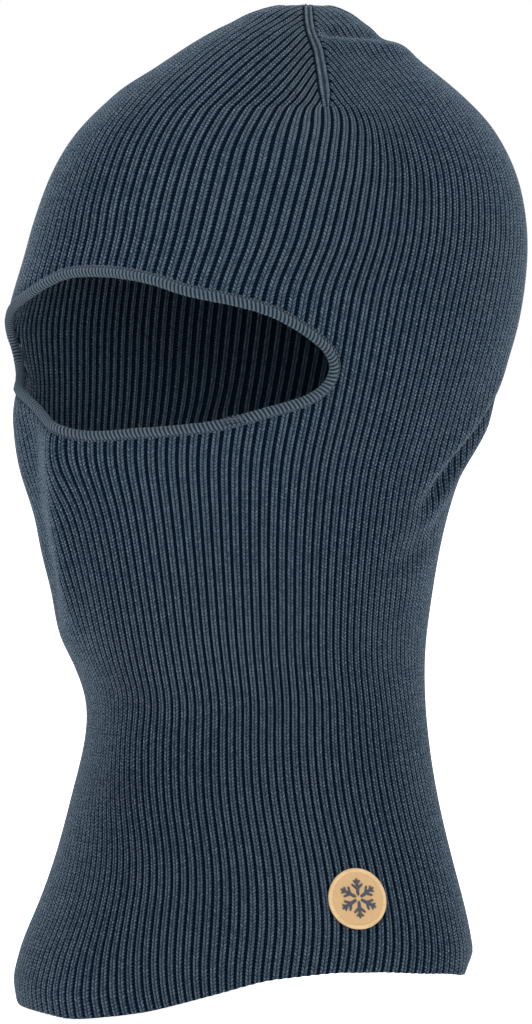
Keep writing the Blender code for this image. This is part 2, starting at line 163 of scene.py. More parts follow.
def bell(x, centre, spread):
    return np.exp(-((x - centre) / spread) ** 2)


def wrap(turn):
    return ((turn + 0.5) % 1.0) - 0.5


def gauss_smooth(y, sigma, x):
    step = x[1] - x[0]
    n = int(4 * sigma / step)
    kernel = np.exp(-0.5 * (np.arange(-n, n + 1) * step / sigma) ** 2)
    kernel /= kernel.sum()
    padded = np.concatenate([2 * y[0] - y[n:0:-1], y, 2 * y[-1] - y[-2:-n - 2:-1]])
    return np.convolve(padded, kernel, mode='valid')


# ---------------------------------------------------------------- tables of the wall
section_radius = (SECTIONS[:, 1] + SECTIONS[:, 2]) / 2
SECTION_UP = np.concatenate(
    [[0], np.cumsum(np.hypot(np.diff(SECTIONS[:, 0]), np.diff(section_radius)))])
UP_TIP = SECTION_UP[-1]
N_UP = 900
N_ANGLES, N_TURNS = 2880, 2048
UP = np.linspace(0, UP_TIP, N_UP)
TURN = np.linspace(-0.5, 0.5, N_TURNS + 1)


def wall_profile(column):
    """A column of SECTIONS along the wall, rounded off away from hem and tip."""
    y = pchip(SECTION_UP, SECTIONS[:, column])(UP)
    share = smooth((UP_TIP - UP - 4) / 22.0) * smooth((UP - 8) / 12.0)
    return y * (1 - share) + gauss_smooth(y, 6.0, UP) * share


HEIGHT, HALF_WIDTH, HALF_DEPTH, MIDDLE_Y, EXPONENT = [wall_profile(i) for i in range(5)]


def up_of_height(z):
    return float(np.interp(z, HEIGHT, UP))


def height_of_up(up):
    return np.interp(up, UP, HEIGHT)


UP_SLIT, UP_DART = up_of_height(SLIT_HEIGHT), up_of_height(DART_HEIGHT)


def plain_form():
    """Points and angles at equal steps round each row, and each row's perimeter."""
    points = np.zeros((N_UP, N_TURNS + 1, 3))
    angles = np.zeros((N_UP, N_TURNS + 1))
    perimeters = np.zeros(N_UP)
    angle = np.linspace(-180, 180, N_ANGLES + 1)
    sine, cosine = np.sin(np.radians(angle)), np.cos(np.radians(angle))
    for j in range(N_UP):
        power = 2.0 / EXPONENT[j]
        x = HALF_WIDTH[j] * np.sign(sine) * np.abs(sine) ** power
        y = -HALF_DEPTH[j] * np.sign(cosine) * np.abs(cosine) ** power
        y = y - (NOSE_REACH * bell(angle, NOSE_ANGLE, NOSE_HALF_ANGLE)
                 * math.exp(-((HEIGHT[j] - NOSE_HEIGHT) / NOSE_HALF_HEIGHT) ** 2))
        arc = np.concatenate([[0], np.cumsum(np.hypot(np.diff(x), np.diff(y)))])
        perimeters[j] = arc[-1]
        turn = (arc - np.interp(0.0, angle, arc)) / max(arc[-1], 1e-9)
        turn[0], turn[-1] = -0.5, 0.5
        if arc[-1] < 1e-6:                  # the tip is a single point
            turn = np.linspace(-0.5, 0.5, N_ANGLES + 1)
        points[j, :, 0] = np.interp(TURN, turn, x) + SHIFT_X
        points[j, :, 1] = np.interp(TURN, turn, y) + MIDDLE_Y[j] + SHIFT_Y
        points[j, :, 2] = HEIGHT[j]
        angles[j] = np.interp(TURN, turn, angle)
    return points, angles, perimeters


def fold(angle, z, start_angle, start_z, end_angle, end_z, width, depth):
    """A crease along a line, with a half-height swelling on each side."""
    across, rise = (end_angle - start_angle) * FOLD_ARC, end_z - start_z
    length = math.hypot(across, rise)
    from_x, from_z = (angle - start_angle) * FOLD_ARC, z - start_z
    t = (from_x * across + from_z * rise) / length ** 2
    aside = (from_x * rise - from_z * across) / length
    body = smooth((t + 0.25) / 0.4) * smooth((1.25 - t) / 0.4)
    swelling = (bell(aside, 2.1 * width, 1.5 * width) + bell(aside, -2.1 * width, 1.5 * width))
    return body * (-depth * bell(aside, 0, width) + depth * 0.5 * swelling)


def drape(angle, z):
    """Outward push of the worn cloth's folds."""
    push = sum(fold(angle, z, *row) for row in FOLDS)
    # a ridge under the opening, and the flat of the right cheek beside it
    ridge = (-8.0 - 11.0 * smooth((212 - z) / 36.0) - 5.0 * smooth((180 - z) / 30.0)
             - 14.0 * smooth((150 - z) / 30.0))
    window = smooth((z - 134) / 30.0) * smooth((232 - z) / 24.0)
    push = push + window * (1.9 * bell(angle, ridge, 6.0) - 3.3 * bell(angle, ridge - 18.0, 10.0))
    for out, at_angle, angle_spread, at_z, z_spread in DENTS:
        push = push + out * bell(angle, at_angle, angle_spread) * bell(z, at_z, z_spread)
    for out, at_angle, spread, foot, rise, top, fall in BANDS:
        push = push + (out * bell(angle, at_angle, spread)
                       * smooth((z - foot) / rise) * smooth((top - z) / fall))
    # slow uneven lie of the cloth
    t = np.radians(angle)
    push = push + 0.55 * np.sin(3 * t + z / 31.0 + 0.7) * np.sin(z / 47.0 + 0.4)
    push = push + 0.35 * np.sin(5 * t - z / 22.0 + 2.1) * smooth((240 - z) / 60)
    # low waves at the free hem
    return push + smooth((46 - z) / 46) * (1.1 * np.sin(4 * t + 0.9) + 0.7 * np.sin(7 * t + 2.0))


def pinch(angle, z):
    """The fold round the drawn-in tip, on the left and back, and the tip's lift."""
    t = ((angle + 180.0) % 360.0) - 180.0
    span = (smooth((t - 50) / 14.0) * (1 - 0.35 * smooth((t - 92) / 34.0))
            * smooth((176 - t) / 40.0))
    above = z - 360.2
    crease = span * (-2.1 * bell(above, 0, 2.3) + 1.5 * bell(above, -5.0, 3.0))
    return crease + 0.9 * smooth((z - 364.0) / 4.0)


def normals_of(points):
    along = np.roll(points[:, :-1], -1, axis=1) - np.roll(points[:, :-1], 1, axis=1)
    along = np.concatenate([along, along[:, :1]], axis=1)
    normal = np.cross(along, np.gradient(points, axis=0))
    normal = normal / np.maximum(np.linalg.norm(normal, axis=2, keepdims=True), 1e-12)
    # the rows collapse at the tip
    normal[-1] = (0, 0, 1)
    normal[-2] = normal[-3]
    return normal


def draped_form():
    points, angles, perimeters = plain_form()
    z = HEIGHT[:, None]
    drape_share = smooth((UP_TIP - UP - 20) / 40.0)[:, None]
    pinch_share = smooth((UP_TIP - UP - 5) / 5.0)[:, None]
    push = drape(angles, z) * drape_share + pinch(angles, z) * pinch_share
    return points + normals_of(points) * push[:, :, None], angles, perimeters


POINTS, ANGLES, PERIMETERS = draped_form()
NORMALS = normals_of(POINTS)


# ---------------------------------------------------------------- places on the wall
def sample(table, turn, up):
    """Bilinear look-up in POINTS or NORMALS."""
    turn, up = np.broadcast_arrays(np.asarray(turn, float), np.asarray(up, float))
    column = ((turn + 0.5) % 1.0) * N_TURNS
    row = np.clip(up / UP_TIP, 0, 1) * (N_UP - 1)
    i = np.minimum(column.astype(int), N_TURNS - 1)
    j = np.minimum(row.astype(int), N_UP - 2)
    a, b = (column - i)[..., None], (row - j)[..., None]
    return ((table[j, i] * (1 - a) + table[j, i + 1] * a) * (1 - b)
            + (table[j + 1, i] * (1 - a) + table[j + 1, i + 1] * a) * b)


def wall_normal(turn, up):
    normal = sample(NORMALS, turn, up)
    return normal / np.maximum(np.linalg.norm(normal, axis=-1, keepdims=True), 1e-9)


def wall_point(turn, up, out):
    return sample(POINTS, turn, up) + wall_normal(turn, up) * np.asarray(out)[..., None]


def perimeter(up):
    return np.interp(up, UP, PERIMETERS)


def row_at(up):
    return int(np.clip(up / UP_TIP, 0, 1) * (N_UP - 1))


def turn_of_angle(angle, up):
    return float(np.interp(angle, ANGLES[row_at(up)], TURN))


def angle_of_turn(turn, up):
    return np.interp(turn, TURN, ANGLES[row_at(up)])


# ---------------------------------------------------------------- where the ribs run
lean_left = pchip(LEANS[:, 0], LEANS[:, 1])
lean_front = pchip(LEANS[:, 0], LEANS[:, 2])


def lean(turn, up):
    """How far the crown's ribs and darts are pulled round."""
    z = height_of_up(up)
    away = 1 - np.exp(-((turn - 0.08) / 0.20) ** 4)
    return (lean_left(z) * bell(turn, 0.135, 0.075) - lean_front(z) * bell(turn, -0.02, 0.05)
            - (1 - away * smooth((z - 262.0) / 66.0)) / N_RIBS)


def rib_flow(turn, up):
    """How the ribs stray where the neck is drawn in, and spread at the free hem."""
    z = height_of_up(up)
    neck = bell(z, 100.0, np.where(z > 100.0, 27.0, 34.0))
    hem = smooth((44.0 - z) / 44.0)
    return (-neck * sum(stray * bell(turn, at, spread) for stray, at, spread in NECK_FLOW)
            + hem * sum(stray * bell(turn, at, spread) for stray, at, spread in HEM_FLOW))


def bend_reach(ribs_away):
    """How far along the wall from a dart's foot the rib this many ribs away bends."""
    return np.clip(3.2 * np.abs(ribs_away), 5.0, 40.0)


def turn_of_rib(rib, up):
    """Where a rib lies: the ribs stray with the cloth and bend towards each dart."""
    x, up = np.broadcast_arrays(np.asarray(rib, float) / N_RIBS, np.asarray(up, float))
    reach = bend_reach((x % (2 * DART_TURN) - DART_TURN) * N_RIBS)
    pull = DART_PULL * np.clip((up - UP_DART + reach) / reach, 0, 1) ** 2
    turn = x - pull / (8 * np.pi) * np.sin(8 * np.pi * (x - DART_TURN))
    near = wrap(turn)
    return turn + rib_flow(near, up) + lean(near, up)


def rib_spread(rib, up):
    """Local rib pitch over the mean pitch."""
    step = 0.2
    rib = np.asarray(rib, float)
    return (turn_of_rib(rib + step, up) - turn_of_rib(rib - step, up)) / (2 * step) * N_RIBS


# ---------------------------------------------------------------- face opening
opening_middle = pchip(OPENING[:, 0], OPENING[:, 1])
opening_half = pchip(OPENING[:, 0], OPENING[:, 2])
OPENING_RIGHT = turn_of_angle(OPENING[0, 0], UP_SLIT)
OPENING_LEFT = turn_of_angle(OPENING[-1, 0], UP_SLIT)


def opening_outline(n, outward):
    """Closed outline of n (turn, up) points, pushed outward, along the top first."""
    s = np.cos(np.linspace(math.pi, 0, n // 2 + 1))
    turn = OPENING_RIGHT + (OPENING_LEFT - OPENING_RIGHT) * (s + 1) / 2
    angle = angle_of_turn(turn, UP_SLIT)
    half = np.clip(opening_half(angle), 0, None) * np.sqrt(np.clip(1 - np.abs(s) ** 9, 0, 1))
    middle = opening_middle(angle)
    top = np.stack([turn, middle + half], 1)
    low = np.stack([turn, middle - half], 1)[::-1][1:-1]
    ring = np.concatenate([top, low])
    ring[:, 1] = np.interp(ring[:, 1], HEIGHT, UP)
    ring[:, 0] *= perimeter(UP_SLIT)
    # even out the spacing and round the outline, twice over
    sigma = int(n * 0.006)
    weights = np.exp(-0.5 * (np.arange(-3 * sigma, 3 * sigma + 1) / sigma) ** 2)
    weights /= weights.sum()
    for _ in range(2):
        loop = np.concatenate([ring, ring[:1]])
        steps = np.linalg.norm(np.diff(loop, axis=0), axis=1)
        length = np.concatenate([[0], np.cumsum(steps)])
        t = np.linspace(0, length[-1], n + 1)[:-1]
        ring = np.stack([np.interp(t, length, loop[:, 0]), np.interp(t, length, loop[:, 1])], 1)
        ring = sum(np.roll(ring, i - 3 * sigma, axis=0) * w for i, w in enumerate(weights))
    tangent = np.roll(ring, -1, axis=0) - np.roll(ring, 1, axis=0)
    tangent /= np.linalg.norm(tangent, axis=1, keepdims=True)
    ring = ring + np.stack([-tangent[:, 1], tangent[:, 0]], 1) * outward
    ring[:, 0] /= perimeter(UP_SLIT)
    return ring


# the ribs that run into the opening's corners
rib_scale = np.linspace(-0.5, 0.5, 4001) * N_RIBS
rib_turns = turn_of_rib(rib_scale, UP_SLIT)
gap_turn = OPENING_GAP / perimeter(UP_SLIT)
RIB_RIGHT = round(float(np.interp(OPENING_RIGHT - gap_turn, rib_turns, rib_scale)))
RIB_LEFT = round(float(np.interp(OPENING_LEFT + gap_turn, rib_turns, rib_scale)))
CORNER_RIGHT = float(turn_of_rib(RIB_RIGHT, UP_SLIT))
CORNER_LEFT = float(turn_of_rib(RIB_LEFT, UP_SLIT))


def opening_edges():
    """(turn, up) arrays of the knit's edge over and under the opening."""
    ring = opening_outline(1600, OPENING_GAP)
    ring = np.roll(ring, -int(np.argmin(ring[:, 0])), axis=0)
    far = int(np.argmax(ring[:, 0]))
    top, low = ring[:far + 1], np.concatenate([ring[far:], ring[:1]])
    if top[:, 1].mean() < low[:, 1].mean():
        top, low = low, top
    edges = []
    for edge in (top, low):
        edge = edge[np.argsort(edge[:, 0])]
        # stretch the ends onto the corner ribs
        share = (edge[:, 0] - edge[0, 0]) / (edge[-1, 0] - edge[0, 0])
        edges.append((CORNER_RIGHT + share * (CORNER_LEFT - CORNER_RIGHT), edge[:, 1]))
    return edges


(TOP_TURN, TOP_UP), (LOW_TURN, LOW_UP) = opening_edges()
for end in (0, -1):
    TOP_UP[end] = LOW_UP[end] = (TOP_UP[end] + LOW_UP[end]) / 2


def slit_shift(turn, side):
    """How far the slit's course is pulled: over the opening for +1, under for -1."""
    turn = wrap(turn)
    inside = np.interp(turn, TOP_TURN, TOP_UP) if side > 0 else np.interp(turn, LOW_TURN, LOW_UP)
    right = UP_SLIT + (TOP_UP[0] - UP_SLIT) * (1 - smooth((CORNER_RIGHT - turn) / 0.12))
    left = UP_SLIT + (TOP_UP[-1] - UP_SLIT) * (1 - smooth((turn - CORNER_LEFT) / 0.12))
    up = np.where(turn < CORNER_RIGHT, right, np.where(turn > CORNER_LEFT, left, inside))
    return up - UP_SLIT


hem_curve = pchip(HEM_RISE[:, 0], HEM_RISE[:, 1])


def hem_rise(turn):
    return hem_curve(angle_of_turn(wrap(turn), HEM_UP))


# ---------------------------------------------------------------- meshes
def mesh_object(name, verts, quads, uv, mat, tris=(), attributes=None, n_flat=0):
    """Mesh from mm; uv and attributes are per vertex; the last n_flat faces stay flat."""
    n_quads, n_tris = len(quads), len(tris)
    mesh = bpy.data.meshes.new(name)
    mesh.vertices.add(len(verts))
    coordinates = np.asarray(verts, np.float64) * MM
    mesh.vertices.foreach_set("co", coordinates.astype(np.float32).ravel())
    loops = np.concatenate([np.asarray(quads, np.int32).ravel(),
                            np.asarray(tris, np.int32).ravel()])
    starts = np.concatenate([np.arange(n_quads, dtype=np.int32) * 4,
                             n_quads * 4 + np.arange(n_tris, dtype=np.int32) * 3])
    mesh.loops.add(len(loops))
    mesh.loops.foreach_set("vertex_index", loops)
    mesh.polygons.add(n_quads + n_tris)
    mesh.polygons.foreach_set("loop_start", starts)
    layer = mesh.uv_layers.new(name="knit")
    layer.data.foreach_set("uv", np.asarray(uv, np.float32)[loops].ravel())
    for key, values in (attributes or {}).items():
        attribute = mesh.attributes.new(key, 'FLOAT', 'POINT')
        attribute.data.foreach_set("value", np.asarray(values, np.float32))
    mesh.update(calc_edges=True)
    mesh.validate()
    is_smooth = np.ones(len(mesh.polygons), dtype=bool)
    is_smooth[len(is_smooth) - n_flat:] = False
    mesh.polygons.foreach_set("use_smooth", is_smooth)
    mesh.materials.append(mat)
    obj = bpy.data.objects.new(name, mesh)
    bpy.context.scene.collection.objects.link(obj)
    return obj


def place(obj, node, rides="hood"):
    """Tells the frame what the object rides, which CAD piece it replaces."""
    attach(obj, rides)
    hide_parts(node)


def grid_quads(n_rows, n_columns, base=0, flip=False, wrapped=False):
    r, c = np.meshgrid(np.arange(n_rows - 1),
                       np.arange(n_columns if wrapped else n_columns - 1), indexing='ij')
    here, beside = base + r * n_columns, (c + 1) % n_columns
    above = base + (r + 1) * n_columns
    quads = np.stack([here + c, here + beside, above + beside, above + c], -1).reshape(-1, 4)
    return quads[:, ::-1] if flip else quads


def fan(centre, ring, flip=False):
    """Triangles from a centre vertex to a closed ring of vertices."""
    first, second = ring, np.roll(ring, -1)
    if flip:
        first, second = second, first
    return np.stack([np.full(len(ring), centre), first, second], -1)


def closed_sheet(name, outer, inner, across_out, across_in, along, shade_out, shade_in, mat):
    """A closed cloth panel between two equal grids of points. The texture places and
    shades may be single rows, columns or numbers."""
    n_rows, n_columns = outer.shape[:2]
    n = n_rows * n_columns
    index = np.arange(n).reshape(n_rows, n_columns)
    rims = [np.stack([edge[:-1], edge[1:], edge[1:] + n, edge[:-1] + n], -1)
            for edge in (index[0, ::-1], index[-1], index[:, 0], index[::-1, -1])]
    rim = np.concatenate(rims)
    quads = np.concatenate([grid_quads(n_rows, n_columns),
                            grid_quads(n_rows, n_columns, base=n, flip=True), rim])

    def both(outside, inside):
        return np.concatenate([np.broadcast_to(values, (n_rows, n_columns)).ravel()
                               for values in (outside, inside)])

    return mesh_object(
        name, np.concatenate([outer.reshape(-1, 3), inner.reshape(-1, 3)]), quads,
        np.stack([both(across_out, across_in), both(along, along)], -1), mat,
        attributes={"shade": both(shade_out, shade_in), "inner": both(0.0, 1.0)},
        n_flat=len(rim))


def closed_disc(name, top, bottom, uv, mat):
    """A disc between two equal grids of rings; each first ring is the centre."""
    n_rings, m = top.shape[0] - 1, top.shape[1]
    n = n_rings * m
    verts = np.concatenate([top[1:].reshape(-1, 3), bottom[1:].reshape(-1, 3),
                            top[:1, 0], bottom[:1, 0]])
    first = np.arange(m)
    rim = (n_rings - 1) * m + first
    beside = np.roll(rim, -1)
    quads = np.concatenate([grid_quads(n_rings, m, wrapped=True, flip=True),
                            grid_quads(n_rings, m, base=n, wrapped=True),
                            np.stack([beside, beside + n, rim + n, rim], -1)])
    tris = np.concatenate([fan(2 * n, first), fan(2 * n + 1, first + n, flip=True)])
    uvs = np.concatenate([uv[1:].reshape(-1, 2)] * 2 + [np.zeros((2, 2))])
    return mesh_object(name, verts, quads, uvs, mat, tris)


def path_frames(centre, normal, closed):
    """Unit normals and sideways vectors square to a path."""
    tangent = np.roll(centre, -1, axis=0) - np.roll(centre, 1, axis=0)
    if not closed:
        tangent[0], tangent[-1] = centre[1] - centre[0], centre[-1] - centre[-2]
    tangent /= np.linalg.norm(tangent, axis=1, keepdims=True)
    normal = normal - tangent * (normal * tangent).sum(1, keepdims=True)
    normal /= np.linalg.norm(normal, axis=1, keepdims=True)
    return normal, np.cross(tangent, normal)


def wall_path(turn, up, out, closed=False):
    centre = wall_point(turn, up, out)
    return centre, *path_frames(centre, wall_normal(turn, up), closed)


def sweep(name, path, radius, mat, ply, sides=8, closed=False, flat=(1.0, 1.0), twist=0.0,
          wobble=None, slant=None, uv_scale=1.0):
    """Yarn along a path (points, normals, sideways vectors).
    ply: length of one turn of the yarn. flat: scale sideways and along the normal.
    twist: swell that winds round once a ply. wobble(phi, along, total): more radius.
    slant: lays the stitches across the yarn, not round it. uv_scale: texture along."""
    centre, normal, sideways = path
    n = len(centre)
    ends = np.concatenate([centre, centre[:1]]) if closed else centre
    steps = np.linalg.norm(np.diff(ends, axis=0), axis=1)
    along = np.concatenate([[0], np.cumsum(steps)])[:n]
    total = steps.sum()
    plies = along / total * round(total / ply) if closed else along / ply
    phi = np.linspace(0, 2 * np.pi, sides, endpoint=False)
    r = np.broadcast_to(np.asarray(radius, float), (n,))[:, None] * np.ones((1, sides))
    r = r + twist * np.sin(2 * np.pi * plies[:, None] + phi[None])
    if wobble is not None:
        r = r + wobble(phi[None], along[:, None], total)
    points = (centre[:, None]
              + normal[:, None] * (np.sin(phi)[None, :, None] * r[..., None] * flat[1])
              + sideways[:, None] * (np.cos(phi)[None, :, None] * r[..., None] * flat[0]))
    across = phi / (2 * np.pi) if slant is None else slant * np.cos(phi)
    texture_along = plies.astype(np.float32) * np.float32(uv_scale)
    uv = np.stack(np.broadcast_arrays(across[None], texture_along[:, None]), -1).reshape(-1, 2)
    verts = points.reshape(-1, 3)
    # in a closed yarn the last ring joins the first
    quads = grid_quads(n + closed, sides, wrapped=True, flip=True) % (n * sides)
    tris = ()
    if not closed:
        verts = np.concatenate([verts, centre[:1], centre[-1:]])
        first = np.arange(sides)
        tris = np.concatenate([fan(n * sides, first),
                               fan(n * sides + 1, (n - 1) * sides + first, flip=True)])
        uv = np.concatenate([uv, [[0, texture_along[0]], [0, texture_along[-1]]]])
    return mesh_object(name, verts, quads, uv, mat, tris)


# ---------------------------------------------------------------- shader nodes
class NodeBuilder:
    """Adds and wires shader nodes; any input may be a value or a socket."""
    def __init__(self, tree):
        self.tree = tree

    def node(self, kind, **settings):
        node = self.tree.nodes.new(kind)
        for key, value in settings.items():
            setattr(node, key, value)
        return node

    def link(self, source, socket):
        self.tree.links.new(source, socket)

    def put(self, socket, value):
        if isinstance(value, bpy.types.NodeSocket):
            self.link(value, socket)
        else:
            socket.default_value = value

    def math(self, operation, *values):
        node = self.node("ShaderNodeMath", operation=operation)
        for socket, value in zip(node.inputs, values):
            self.put(socket, value)
        return node.outputs[0]

    def add(self, a, b):
        return self.math('ADD', a, b)

    def sub(self, a, b):
        return self.math('SUBTRACT', a, b)

    def mul(self, a, b):
        return self.math('MULTIPLY', a, b)

    def invert(self, a):
        return self.sub(1.0, a)

    def to_whole(self, phase):
        """Distance of a 0..1 phase from the nearest whole."""
        return self.math('MINIMUM', phase, self.invert(phase))

    def zigzag(self, a):
        """1 at whole numbers, 0 half way between."""
        return self.math('ABSOLUTE', self.mul(self.sub(self.math('FRACT', a), 0.5), 2.0))

    def ease(self, a, start, end, low=0.0, high=1.0):
        """Smooth step from low to high between start and end."""
        node = self.node("ShaderNodeMapRange", interpolation_type='SMOOTHSTEP')
        self.put(node.inputs["Value"], a)
        node.inputs["From Min"].default_value = start
        node.inputs["From Max"].default_value = end
        node.inputs["To Min"].default_value = low
        node.inputs["To Max"].default_value = high
        return node.outputs[0]

    def mix(self, share, a, b, blend='MIX'):
        node = self.node("ShaderNodeMix", data_type='RGBA', blend_type=blend)
        self.put(node.inputs[0], share)
        self.put(node.inputs[6], a)
        self.put(node.inputs[7], b)
        return node.outputs[2]

    def combine(self, x, y):
        node = self.node("ShaderNodeCombineXYZ")
        self.put(node.inputs[0], x)
        self.put(node.inputs[1], y)
        return node.outputs[0]

    def noise(self, vector, scale, detail=2.0, rough=0.5):
        node = self.node("ShaderNodeTexNoise")
        self.link(vector, node.inputs["Vector"])
        node.inputs["Scale"].default_value = scale
        node.inputs["Detail"].default_value = detail
        node.inputs["Roughness"].default_value = rough
        return node.outputs["Fac"]

    def uv_noise(self, uv, stretch, **settings):
        """Noise over the texture places, each axis scaled by stretch."""
        vector = self.combine(self.mul(uv[0], stretch[0]), self.mul(uv[1], stretch[1]))
        return self.noise(vector, **settings)

    def uv(self):
        separate = self.node("ShaderNodeUVMap", uv_map="knit").outputs[0]
        node = self.node("ShaderNodeSeparateXYZ")
        self.link(separate, node.inputs[0])
        return node.outputs[0], node.outputs[1]

    def position(self):
        return self.node("ShaderNodeTexCoord").outputs["Object"]

    def attribute(self, name):
        return self.node("ShaderNodeAttribute", attribute_name=name).outputs["Fac"]

    def bump(self, height, distance, strength):
        node = self.node("ShaderNodeBump")
        node.inputs["Strength"].default_value = strength
        node.inputs["Distance"].default_value = distance
        self.link(height, node.inputs["Height"])
        return node.outputs[0]

    def principled(self, color, rough, normal, spec, sheen, sheen_rough=0.5,
                   sheen_tint=(1, 1, 1, 1)):
        shader = self.node("ShaderNodeBsdfPrincipled")
        self.put(shader.inputs["Base Color"], color)
        shader.inputs["Roughness"].default_value = rough
        shader.inputs["Specular IOR Level"].default_value = spec
        shader.inputs["Sheen Weight"].default_value = sheen
        shader.inputs["Sheen Roughness"].default_value = sheen_rough
        shader.inputs["Sheen Tint"].default_value = sheen_tint
        self.link(normal, shader.inputs["Normal"])
        output = self.node("ShaderNodeOutputMaterial")
        self.link(shader.outputs[0], output.inputs[0])
        return shader


def new_material(name):
    material = bpy.data.materials.new(name)
    material.use_nodes = True
    material.node_tree.nodes.clear()
    return material, NodeBuilder(material.node_tree)


# ---------------------------------------------------------------- materials
YARN_LIGHT = (0.098, 0.128, 0.165, 1)
YARN_DARK = (0.020, 0.036, 0.059, 1)
YARN_WORN = (0.100, 0.126, 0.158, 1)        # large paler patches
# painted shade: the dark of the loop gaps, the rib's cleft and the purl bumps in the furrows
PURL_SHADE = (0.0042, 0.0138, 0.0265, 1)
# painted shade: the deep dark of the furrow's floor
FURROW_SHADE = (0.0006, 0.0030, 0.0078, 1)
INSIDE_LIGHT_GAIN = (3.4, 3.2, 3.0, 1)            # painted light: the inside's yarn is made paler, standing in for light reaching into the hood


def knit_material(name):
    """Ribbed knit: u counts ribs, v counts courses."""
    material, b = new_material(name)
    u, v = b.uv()
    position = b.position()
    # the courses wander a little
    wander = b.uv_noise((u, v), (1.3, 0.30), scale=1.0)
    course = b.add(v, b.mul(b.sub(wander, 0.5), 1.1))
    from_cleft = b.zigzag(u)
    inner = b.attribute("inner")
    shade = b.attribute("shade")
    # masks: a V of two strands per course, the cleft between them, the furrow
    loop = b.to_whole(b.math('FRACT', b.sub(course, b.mul(from_cleft, 2.0))))
    leg = b.ease(loop, 0.0, 0.32)
    off_cleft = b.ease(from_cleft, 0.03, 0.28)
    furrow = b.ease(from_cleft, 0.48, 0.68)
    purl = b.zigzag(b.add(course, 0.35))
    fibre = b.uv_noise((u, v), (9.0, 4.0), scale=2.2, detail=3.0, rough=0.65)
    coarse = b.uv_noise((u, v), (4.6, 2.1), scale=1.0, detail=2.0, rough=0.6)
    fuzz = b.noise(position, scale=2600.0, detail=3.0, rough=0.7)
    # relief
    height = b.add(b.mul(leg, 0.9), b.mul(off_cleft, 0.3))
    height = b.mul(height, b.invert(furrow))
    height = b.add(height, b.mul(b.mul(purl, furrow), 0.6))
    height = b.add(height, b.mul(fibre, 0.35))
    height = b.add(height, b.mul(fuzz, 0.25))
    normal = b.bump(height, distance=0.00036, strength=0.85)
    # colour of the legs, with one random tone per stitch
    patches = b.noise(position, scale=30.0, detail=3.0, rough=0.55)
    stitch = b.node("ShaderNodeTexWhiteNoise", noise_dimensions='2D')
    stitch_id = b.combine(b.math('FLOOR', b.mul(u, 2.0)),
                          b.math('FLOOR', b.sub(course, b.mul(from_cleft, 2.0))))
    b.link(stitch_id, stitch.inputs["Vector"])
    tone = b.add(b.mul(b.ease(coarse, 0.30, 0.70), 0.38),
                 b.add(b.mul(b.ease(fibre, 0.32, 0.68), 0.27),
                       b.mul(stitch.outputs["Value"], 0.35)))
    color = b.mix(b.ease(tone, 0.22, 0.82), YARN_DARK, YARN_LIGHT)
    color = b.mix(b.mul(b.ease(patches, 0.40, 0.72), 0.20), color, YARN_WORN)
    # painted shade: the gaps between the loops and the cleft are darkened towards the purl shade
    # colour
    gap = b.mul(b.invert(b.ease(loop, 0.05, 0.34)), 0.92)
    cleft = b.mul(b.invert(b.ease(from_cleft, 0.05, 0.30)), 0.90)
    color = b.mix(gap, color, PURL_SHADE)
    color = b.mix(cleft, color, PURL_SHADE)
    # painted shade on the furrow's floor, specked with the paler painted shade of the purl bumps
    specks = b.mul(b.ease(purl, 0.15, 0.85), b.ease(coarse, 0.30, 0.62))
    color = b.mix(furrow, color, b.mix(specks, FURROW_SHADE, PURL_SHADE))
    # more painted shade where the shade attribute is high, towards the furrows
    color = b.mix(b.mul(b.ease(shade, 0.25, 1.0), 0.35), color, FURROW_SHADE)
    # painted light: the inside's colour is multiplied paler in place of light reaching into the
    # hood
    color = b.mix(inner, color, b.mix(1.0, color, INSIDE_LIGHT_GAIN, 'MULTIPLY'))
    shader = b.principled(color, rough=0.93, normal=normal, spec=0.03, sheen=0.46,
                          sheen_rough=0.36, sheen_tint=(0.58, 0.72, 0.80, 1))
    # the sheen fades into the furrows
    b.link(b.mul(b.ease(shade, 0.1, 0.9, low=0.30, high=0.03), b.invert(b.mul(furrow, 0.8))),
           shader.inputs["Sheen Weight"])
    return material


def yarn_material(name, light, dark, gap, bump, sheen, spec):
    """Twisted yarn: u runs round, v along in turns of the ply."""
    material, b = new_material(name)
    u, v = b.uv()
    position = b.position()
    phase = b.math('FRACT', b.add(u, v))
    strand = b.ease(b.to_whole(phase), 0.06, 0.42)
    fuzz = b.noise(position, scale=2400.0, detail=3.0, rough=0.7)
    streak = b.uv_noise((phase, v), (6.0, 0.8), scale=1.6)
    height = b.add(strand, b.mul(fuzz, 0.35))
    normal = b.bump(height, distance=bump, strength=0.9)
    color = b.mix(b.add(b.mul(fuzz, 0.5), b.mul(streak, 0.5)), dark, light)
    # painted shade: the grooves between the strands are darkened towards the gap colour
    color = b.mix(b.mul(b.invert(strand), 0.95), color, gap)
    b.principled(color, rough=0.9, normal=normal, spec=spec, sheen=sheen, sheen_rough=0.4,
                 sheen_tint=(0.7, 0.8, 0.9, 1))
    return material


def thread_material(name, light, dark, rough, rows_per_mm=2.6, spec=0.35):
    """Satin thread: the threads run along u, in rows along v."""
    material, b = new_material(name)
    u, v = b.uv()
    wander = b.uv_noise((u, v), (0.6, 0.6), scale=1.4)
    phase = b.math('FRACT', b.add(b.mul(v, rows_per_mm), b.mul(wander, 0.5)))
    ridge = b.ease(b.to_whole(phase), 0.0, 0.4)
    streaks = b.uv_noise((u, v), (1.0, 7.0), scale=2.2, detail=3.0)
    height = b.add(ridge, b.mul(streaks, 0.5))
    normal = b.bump(height, distance=0.00012, strength=0.8)
    color = b.mix(b.ease(streaks, 0.25, 0.75), dark, light)
    # painted shade: the hollows between the thread rows are darkened
    gap = tuple(value * 0.35 for value in dark[:3]) + (1,)
    color = b.mix(b.mul(b.invert(ridge), 0.45), color, gap)
    b.principled(color, rough=rough, normal=normal, spec=spec, sheen=0.08)
    return material


